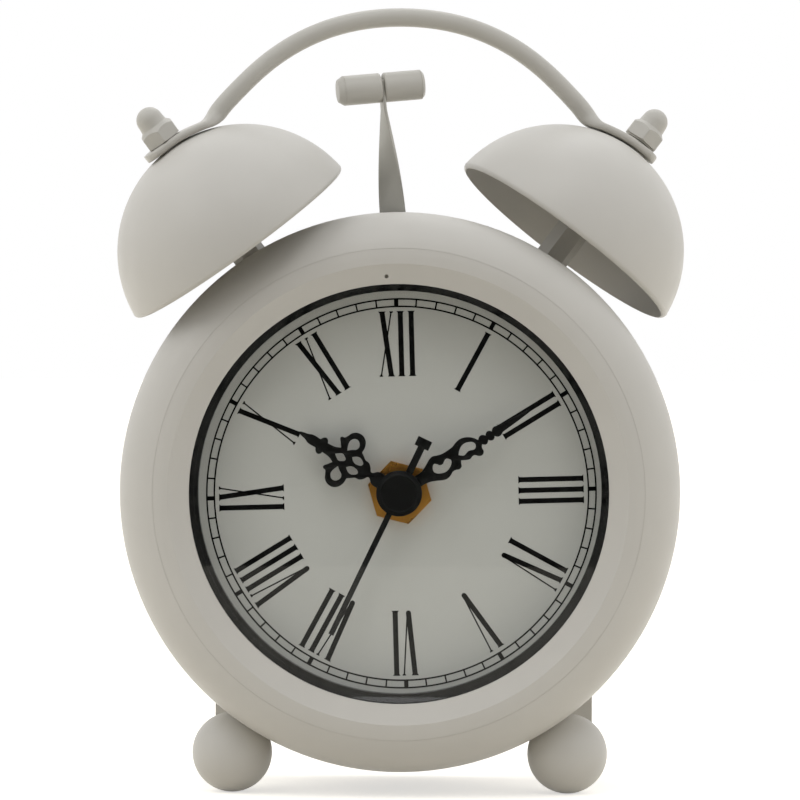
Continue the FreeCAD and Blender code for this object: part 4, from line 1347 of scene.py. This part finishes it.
    def cross(self, piece: bpy.types.Object, x: float) -> None:
        """Draw an X, whose thick stroke falls to the right.

        Args:
            piece: The print being drawn.
            x: Where that stroke starts.
        """
        foot, thin_foot, thin_head = (x + run for run in (self.cross_foot, *self.cross_thin))
        self.bar(piece, (foot, self.foot), (x, self.head), self.thick)
        self.slab(piece, x, True)
        self.slab(piece, foot, False)
        self.bar(piece, (thin_foot, self.foot), (thin_head, self.head), self.thin)
        self.slab(piece, thin_head, True, self.thin_share)
        self.slab(piece, thin_foot, False, self.thin_share)


@dataclass
class Seam:
    """The paint that bridges the joint between drum and bezel.

    Attributes:
        shop: Where the finishes come from.
        radii: Of its inner and outer edge, in millimetres.
        depths: Of its face and its back, into the clock from the bezel's crest.
    """

    shop: PaintShop
    radii: tuple[float, float] = (48.58, 48.75)
    depths: tuple[float, float] = (0.53, 1.2)

    def build(self) -> None:
        """Turn the ring of paint and lay it in the joint."""
        inner, outer = self.radii
        front, back = self.depths
        ring = Lathe("seam_paint", steps=240).turn([
            Corner(inner, -back), Corner(outer, -back), Corner(outer, -front), Corner(inner, -front)])
        seat(ring, dial_place(0.0))
        self.shop.coat(ring, Paint.ENAMEL)
        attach(ring, "clock")
        LOG.info("made %s", ring.name)


# ------------------------------------------------------------------ hands
# A corner of a hand's outline: along the hand, to its left, and whether it is sharp.
Mark = tuple[float, float, bool]

HOUR_SIDE: tuple[Mark, ...] = (
    (-4.2, 0.0, False), (-2.97, 2.97, False), (0.0, 4.2, False), (2.97, 2.97, False), (4.0, 1.5, True),
    (5.7, 1.4, False), (6.9, 0.58, False), (7.5, 1.3, False), (8.3, 1.95, False), (9.1, 2.05, False),
    (9.7, 2.45, False), (10.5, 3.0, True), (10.58, 4.3, False), (11.35, 5.55, False),
    (12.7, 6.0, False), (14.0, 5.45, False), (14.7, 4.25, False), (15.0, 3.78, False),
    (15.6, 3.62, False), (15.75, 3.35, False), (15.2, 2.5, False), (14.6, 1.66, True),
    (15.7, 1.2, False), (17.35, 1.05, True), (17.55, 1.55, False), (18.1, 1.8, False),
    (18.65, 1.5, False), (18.95, 0.98, True), (20.8, 0.95, False), (21.6, 0.62, False),
    (22.6, 0.4, False), (23.6, 0.0, True))
HOUR_HOLES: tuple[tuple[Mark, ...], ...] = (
    ((12.6, 0.0, False), (13.2, 0.62, False), (13.75, 0.8, False), (14.35, 0.5, False),
     (15.0, 0.0, True), (14.35, -0.5, False), (13.75, -0.8, False), (13.2, -0.62, False)),
    ((9.15, 0.95, False), (9.75, 1.7, False), (10.6, 1.88, False), (11.75, 1.2, True),
     (11.1, 0.55, False), (10.2, 0.36, False)),
    ((13.25, 1.8, True), (12.5, 2.4, False), (11.7, 3.0, False), (11.65, 3.9, False),
     (12.65, 4.68, False), (13.6, 4.1, False), (13.75, 3.3, False)))
MINUTE_OUTLINE: tuple[Mark, ...] = (
    (-4.0, 0.0, False), (-2.83, 2.83, False), (0.0, 4.0, False), (2.83, 2.83, False), (3.8, 1.25, True),
    (5.8, 1.2, False), (7.5, 1.9, False), (8.6, 2.47, False), (9.4, 2.65, False), (10.3, 2.35, False),
    (11.2, 2.08, False), (12.6, 2.05, False), (13.9, 2.16, False), (14.8, 2.5, False),
    (15.8, 2.66, False), (16.8, 2.45, False), (17.7, 1.95, False), (18.4, 1.3, False),
    (18.9, 0.55, True), (19.2, 0.85, False), (19.8, 1.05, False), (20.3, 0.85, False),
    (20.6, 0.52, True), (20.9, 0.85, False), (21.35, 1.03, False), (21.85, 0.85, False),
    (22.1, 0.52, True), (22.4, 0.9, False), (23.0, 1.1, False), (23.6, 0.9, False), (23.9, 0.72, True),
    (26.1, 0.58, False), (28.0, 0.45, False), (30.6, 0.22, True), (30.6, -0.22, True),
    (28.0, -0.45, False), (26.1, -0.58, False), (23.9, -0.72, True), (23.6, -0.9, False),
    (23.0, -1.1, False), (22.4, -0.9, False), (22.1, -0.52, True), (21.85, -0.85, False),
    (21.35, -1.03, False), (20.9, -0.85, False), (20.6, -0.52, True), (20.3, -0.85, False),
    (19.8, -1.05, False), (19.1, -0.62, True), (18.75, -1.1, False), (18.6, -2.0, False),
    (18.0, -2.42, False), (17.3, -2.2, False), (16.75, -1.65, False), (16.2, -1.58, False),
    (15.6, -1.8, False), (14.9, -1.6, False), (13.9, -1.05, True), (13.55, -1.6, False),
    (13.3, -2.15, False), (12.7, -2.38, False), (12.0, -2.12, False), (11.3, -2.08, False),
    (10.6, -2.45, False), (9.6, -2.68, False), (8.7, -2.45, False), (7.6, -1.9, False),
    (6.2, -1.35, False), (3.8, -1.15, True), (2.83, -2.83, False), (0.0, -4.0, False),
    (-2.83, -2.83, False))
MINUTE_HOLES: tuple[tuple[Mark, ...], ...] = (
    ((8.1, -0.1, False), (8.35, 0.75, False), (8.95, 1.18, False), (9.4, 0.85, False),
     (9.8, 0.38, False), (10.4, 0.28, False), (10.95, 0.6, False), (11.5, 0.8, False),
     (12.0, 0.45, False), (12.2, 0.0, False), (11.8, -0.65, False), (11.0, -1.15, False),
     (10.1, -1.36, False), (9.1, -1.1, False), (8.4, -0.65, False)),
    ((14.0, 0.1, True), (14.6, 0.75, False), (15.4, 1.28, False), (16.3, 1.42, False),
     (17.2, 1.15, False), (17.85, 0.65, False), (17.98, 0.15, False), (17.7, -0.4, False),
     (17.2, -0.6, False), (16.6, -0.4, False), (16.0, -0.28, False), (15.5, -0.42, False),
     (14.9, -0.55, False), (14.4, -0.25, False)))
SECOND_OUTLINE: tuple[Mark, ...] = (
    (-2.8, 0.0, False), (-1.98, 1.98, False), (0.0, 2.8, False), (2.0, 1.98, False), (2.8, 0.58, True),
    (31.2, 0.54, True), (31.2, -0.54, True), (2.8, -0.58, True), (2.0, -1.98, False),
    (0.0, -2.8, False), (-1.9, -1.98, False), (-2.7, -0.72, True), (-10.1, -0.72, True),
    (-10.1, -1.5, True), (-12.0, -1.5, True), (-12.0, 1.5, True), (-10.1, 1.5, True),
    (-10.1, 0.72, True), (-2.7, 0.72, True))


@dataclass
class Hand:
    """One stamped hand.

    Attributes:
        name: The piece's name.
        node: The node it stands for.
        body: The body it rides on.
        turn: Degrees clockwise from the top.
        depth: Its face, into the clock from the bezel's crest.
        bore: Radius of its hole.
        collet: Outer radius and length of its collet behind.
        outlines: Its edge and the openings pierced in it.
    """

    name: str
    node: str
    body: str
    turn: float
    depth: float
    bore: float
    collet: tuple[float, float]
    outlines: tuple[tuple[Mark, ...], ...]


def mirrored(side: tuple[Mark, ...]) -> tuple[Mark, ...]:
    """Turn an outline across the hand's middle line.

    Args:
        side: The outline on the left.

    Returns:
        The same on the right, run the other way.
    """
    return tuple((along, -left, sharp) for along, left, sharp in reversed(side))


HANDS = (
    Hand("hour_plate", "hour_hand", "hour", turn=301.1, depth=8.8, bore=2.95, collet=(3.6, 0.5),
         outlines=(HOUR_SIDE + mirrored(HOUR_SIDE[1:-1]), *HOUR_HOLES,
                   mirrored(HOUR_HOLES[1]), mirrored(HOUR_HOLES[2]))),
    Hand("minute_plate", "minute_hand", "minute", turn=57.4, depth=7.6, bore=1.95, collet=(2.8, 0.5),
         outlines=(MINUTE_OUTLINE, *MINUTE_HOLES)),
    Hand("second_plate", "second_hand", "second", turn=205.6, depth=6.4, bore=0.95, collet=(0.0, 0.0),
         outlines=(SECOND_OUTLINE,)))


@dataclass
class Hands:
    """The three stamped and lacquered hands.

    Attributes:
        shop: Where the finishes come from.
        thick: Thickness of the plates, in millimetres, as are the rest.
        edge: How much their edges are rounded.
        weld_m: Metres within which a plate's vertices are made one.
        cap: Radius of the second hand's cap.
        cap_height: Its height over the hand.
        cap_side: Height of its upright side.
        cap_slope: Width of the slope from there to the middle of its lip.
        lip_half: Half the lip's width.
        lip_drops: Below the lip: the slope's end, the lip's inside and the face's middle.
    """

    shop: PaintShop
    thick: float = 0.4
    edge: float = 0.05
    weld_m: float = 1e-6
    cap: float = 4.55
    cap_height: float = 1.0
    cap_side: float = 0.3
    cap_slope: float = 0.95
    lip_half: float = 0.15
    lip_drops: tuple[float, float, float] = (0.03, 0.14, 0.08)

    def build(self) -> None:
        """Make each hand and turn it to its place."""
        for hand in HANDS:
            piece = self.plate(hand)
            extra = self.cap_disc() if hand.node == "second_hand" else self.collet(hand)
            hold(piece)
            extra.select_set(True)
            bpy.ops.object.join()
            smooth(piece, 35)
            seat(piece, dial_place(hand.depth))
            self.shop.coat(piece, Paint.LACQUER)
            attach(piece, hand.body)
            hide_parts(hand.node)
            LOG.info("made %s", piece.name)

    def plate(self, hand: Hand) -> bpy.types.Object:
        """Stamp a hand: fill its outline, less its openings, and round the edges a little.

        Args:
            hand: The hand.

        Returns:
            The plate, its face at Z 0 and its back below.
        """
        clear_selection()
        bpy.ops.curve.primitive_bezier_circle_add(radius=hand.bore * MM)
        piece = bpy.context.object
        piece.name = hand.name
        data = piece.data
        for outline in hand.outlines:
            self.draw(data, outline, math.radians(90 - hand.turn))
        data.dimensions = "2D"
        data.fill_mode = "BOTH"
        data.resolution_u = 6
        data.extrude = (self.thick / 2 - self.edge) * MM
        data.bevel_depth = self.edge * MM
        data.offset = -self.edge * MM
        data.bevel_resolution = 1
        hold(piece)
        bpy.ops.object.convert(target="MESH")
        piece = bpy.context.object
        bpy.ops.object.mode_set(mode="EDIT")
        bpy.ops.mesh.select_all(action="SELECT")
        bpy.ops.mesh.remove_doubles(threshold=self.weld_m)
        bpy.ops.mesh.normals_make_consistent(inside=False)
        bpy.ops.object.mode_set(mode="OBJECT")
        seat(piece, Matrix.Translation(Vector((0, 0, -self.thick / 2 * MM))))
        return piece

    def draw(self, data: bpy.types.Curve, outline: tuple[Mark, ...], turn: float) -> None:
        """Add a closed outline to a curve.

        Args:
            data: The curve.
            outline: The corners.
            turn: Angle of the hand, to the left from X, in radians.
        """
        spline = data.splines.new("BEZIER")
        spline.bezier_points.add(len(outline) - 1)
        spline.use_cyclic_u = True
        for point, (along, left, sharp) in zip(spline.bezier_points, outline):
            point.co = Vector((along * math.cos(turn) - left * math.sin(turn),
                               along * math.sin(turn) + left * math.cos(turn), 0)) * MM
            point.handle_left_type = point.handle_right_type = "VECTOR" if sharp else "AUTO"

    def collet(self, hand: Hand) -> bpy.types.Object:
        """Turn the collet that grips the pipe behind a hand.

        Args:
            hand: The hand.

        Returns:
            The collet.
        """
        outer, length = hand.collet
        back = -self.thick + LAP
        return Lathe("collet", steps=64).turn([
            Corner(hand.bore, back - length), Corner(outer, back - length, soft=0.08), Corner(outer, back),
            Corner(hand.bore, back)])

    def cap_disc(self) -> bpy.types.Object:
        """Turn the cap over the second hand: chamfered, with a fine lip round its face.

        Returns:
            The cap.
        """
        face, lip = self.cap_height, self.cap - self.cap_slope
        outside, inside, middle = (face - drop for drop in self.lip_drops)
        return Lathe("cap").turn([
            Corner(0.0, -LAP), Corner(self.cap, -LAP), Corner(self.cap, self.cap_side, soft=0.08),
            Corner(lip + self.lip_half, outside, soft=0.06), Corner(lip, face, soft=0.04),
            Corner(lip - self.lip_half, inside, soft=0.04), Corner(0.0, middle)])


# ------------------------------------------------------------------ studio
@dataclass(frozen=True)
class Lamp:
    """A soft box that faces the clock.

    Attributes:
        spot: Where it hangs, in metres.
        size: Its side, in metres.
        watts: Its power.
    """

    spot: tuple[float, float, float]
    size: float
    watts: float


@dataclass
class Studio:
    """A pale floor, soft lamps and the camera.

    Attributes:
        eye_mm: The camera's place.
        yaw: Its turn to the right, in degrees.
        pitch: Its turn upwards.
        roll: Its turn about its own line of sight.
        focal_px: Its focal length, in the render's pixels.
        image_px: The render's width.
        aim_m: The height that the lamps face.
        lamps: The lamps: left, right, behind and before.
        room_colour: The room's light.
        room_light: Its strength before the clock and behind it.
        floor_m: The floor's side.
        floor_colour: The floor's paper.
        floor_lift: How much the floor glows, to read as white: under the cards and round the clock.
        lift_run: Where the one turns into the other, from the last card's edge.
        flag_m: Width and height of the card behind the camera.
        flag_width: Width of the cards on the floor.
        flag_rise: How high they lie.
        flag_y: Where the first two cards start and the last one ends.
        flag_colours: The black cards' colour and the last one's.
    """

    eye_mm: tuple[float, float, float] = (24.6, -1000.0, 109.7)
    yaw: float = -1.43
    pitch: float = -1.79
    roll: float = 0.18
    focal_px: float = 4951.0
    image_px: int = 800
    aim_m: float = 0.08
    lamps: tuple[Lamp, ...] = (
        Lamp((-0.8, -0.35, 0.9), 0.6, 1.9), Lamp((0.9, -0.3, 0.5), 0.6, 0.6),
        Lamp((0.1, 0.5, 1.0), 0.5, 0.9), Lamp((0.05, -0.55, 1.1), 0.5, 1.9))
    room_colour: str = "F2F3F5"
    room_light: tuple[float, float] = (0.55, 1.35)
    floor_m: float = 6.0
    floor_colour: str = "EAE5DA"
    floor_lift: tuple[float, float] = (1.0, 0.56)
    lift_run: tuple[float, float] = (0.006, 0.03)
    flag_m: tuple[float, float] = (0.8, 0.8)
    flag_width: float = 1.1
    flag_rise: float = 0.002
    flag_y: tuple[float, float, float] = (-1.25, -0.7, -0.22)
    flag_colours: tuple[str, str] = ("161616", "908C84")

    def camera(self) -> None:
        """Stand the camera in front, a little right of the clock and above its middle."""
        yaw, pitch, roll = (math.radians(a) for a in (self.yaw, self.pitch, self.roll))
        ahead = Vector((math.sin(yaw) * math.cos(pitch), math.cos(yaw) * math.cos(pitch), math.sin(pitch)))
        right = Vector((math.cos(yaw), -math.sin(yaw), 0))
        above = right.cross(ahead)
        right, above = (right * math.cos(roll) + above * math.sin(roll),
                        above * math.cos(roll) - right * math.sin(roll))
        pose = Matrix((right, above, -ahead)).transposed().to_4x4()
        clear_selection()
        bpy.ops.object.camera_add()
        camera = bpy.context.object
        camera.matrix_world = Matrix.Translation(Vector(self.eye_mm) * MM) @ pose
        camera.data.lens = camera.data.sensor_width * self.focal_px / self.image_px
        bpy.context.scene.camera = camera

    def hang(self, lamp: Lamp) -> None:
        """Hang a soft box and turn it to the clock.

        Args:
            lamp: The lamp.
        """
        clear_selection()
        bpy.ops.object.light_add(type="AREA", location=lamp.spot)
        light = bpy.context.object
        light.data.shape = "SQUARE"
        light.data.size = lamp.size
        light.data.energy = lamp.watts
        aim = Vector((0, 0, self.aim_m)) - Vector(lamp.spot)
        light.rotation_mode = "QUATERNION"
        light.rotation_quaternion = aim.to_track_quat("-Z", "Y")

    def floor(self) -> None:
        """Lay the floor: it keeps the clock's shadow and reads as white round it."""
        clear_selection()
        bpy.ops.mesh.primitive_plane_add(size=self.floor_m)
        floor = bpy.context.object
        floor.name = "floor"
        material = blank_material("floor_card")
        tree = material.node_tree
        paper = add_node(tree, "ShaderNodeBsdfDiffuse", inputs={"Color": srgb(self.floor_colour)})
        spot = add_node(tree, "ShaderNodeNewGeometry").outputs["Position"]
        depth = add_node(tree, "ShaderNodeSeparateXYZ", inputs={0: spot}).outputs["Y"]
        start, end = (self.flag_y[-1] + run for run in self.lift_run)
        level = add_node(tree, "ShaderNodeMapRange", inputs={
            "Value": depth, "From Min": start, "From Max": end,
            "To Min": self.floor_lift[0], "To Max": self.floor_lift[1]})
        lift = add_node(tree, "ShaderNodeEmission", inputs={
            "Color": (1, 1, 1, 1), "Strength": level.outputs[0]})
        seen = self.seen_rays(tree)
        dark = add_node(tree, "ShaderNodeEmission", inputs={"Strength": 0.0})
        lifted = add_node(tree, "ShaderNodeMixShader", inputs={
            0: seen, 1: dark.outputs[0], 2: lift.outputs[0]})
        both = add_node(tree, "ShaderNodeAddShader", inputs={0: paper.outputs[0], 1: lifted.outputs[0]})
        add_node(tree, "ShaderNodeOutputMaterial", inputs={"Surface": both.outputs[0]})
        floor.data.materials.append(material)

    def flags(self) -> None:
        """Hang a black card behind the camera and lay two before the clock: they keep glare off it."""
        back, middle, front = self.flag_y
        black, grey = self.flag_colours
        wide, rise = self.flag_width, self.flag_rise
        for name, colour, spot, tilt, size in (
                ("flag_behind", black, (0, back, self.flag_m[1] / 2), math.pi / 2, self.flag_m),
                ("flag_before", black, (0, (back + middle) / 2, rise), 0.0, (wide, middle - back)),
                ("flag_below", grey, (0, (middle + front) / 2, rise), 0.0, (wide, front - middle))):
            clear_selection()
            bpy.ops.mesh.primitive_plane_add(size=1, location=spot, rotation=(tilt, 0, 0))
            flag = bpy.context.object
            flag.name = name
            flag.scale = (*size, 1)
            flag.visible_camera = False
            material = blank_material(name + "_card")
            tree = material.node_tree
            card = add_node(tree, "ShaderNodeBsdfDiffuse", inputs={"Color": srgb(colour)})
            add_node(tree, "ShaderNodeOutputMaterial", inputs={"Surface": card.outputs[0]})
            flag.data.materials.append(material)

    def seen_rays(self, tree: bpy.types.NodeTree) -> bpy.types.NodeSocket:
        """Tell the rays that show the background from the rays that light the clock.

        Args:
            tree: The node tree of a material or the world.

        Returns:
            1 for a ray from the camera, a reflection or a glass, and 0 for the rest.
        """
        rays = add_node(tree, "ShaderNodeLightPath")
        shiny = add_node(tree, "ShaderNodeMath", {"operation": "MAXIMUM"}, {
            0: rays.outputs["Is Glossy Ray"], 1: rays.outputs["Is Transmission Ray"]})
        return add_node(tree, "ShaderNodeMath", {"operation": "MAXIMUM"}, {
            0: rays.outputs["Is Camera Ray"], 1: shiny.outputs[0]}).outputs[0]

    def room(self) -> None:
        """Light the room, more behind the clock than before it, and show white round it."""
        world = bpy.data.worlds.new("room")
        bpy.context.scene.world = world
        world.use_nodes = True
        tree = world.node_tree
        tree.nodes.clear()
        way = add_node(tree, "ShaderNodeTexCoord").outputs["Generated"]
        back = add_node(tree, "ShaderNodeSeparateXYZ", inputs={0: way}).outputs["Y"]
        level = add_node(tree, "ShaderNodeMapRange", inputs={
            "Value": back, "From Min": -1.0, "From Max": 1.0,
            "To Min": self.room_light[0], "To Max": self.room_light[1]})
        even = add_node(tree, "ShaderNodeBackground", inputs={
            "Color": srgb(self.room_colour), "Strength": level.outputs[0]})
        white = add_node(tree, "ShaderNodeBackground", inputs={"Color": (1, 1, 1, 1), "Strength": 1.0})
        both = add_node(tree, "ShaderNodeMixShader", inputs={
            0: self.seen_rays(tree), 1: even.outputs[0], 2: white.outputs[0]})
        add_node(tree, "ShaderNodeOutputWorld", inputs={"Surface": both.outputs[0]})

    def build(self) -> None:
        """Set the whole studio."""
        self.camera()
        self.floor()
        self.room()
        self.flags()
        for lamp in self.lamps:
            self.hang(lamp)
        bpy.context.scene.view_settings.view_transform = "Standard"


def main() -> None:
    """Build the studio, dress the nodes, add the pieces and report them."""
    logging.basicConfig(level=logging.INFO, format="%(name)s: %(message)s")
    Studio().build()
    shop = PaintShop()
    shop.coat_nodes()
    for builder in (Bells(shop), Handle(shop), Hammer(shop), DialPrint(shop), Hands(shop), Seam(shop)):
        builder.build()


if __name__ == "__main__":
    main()
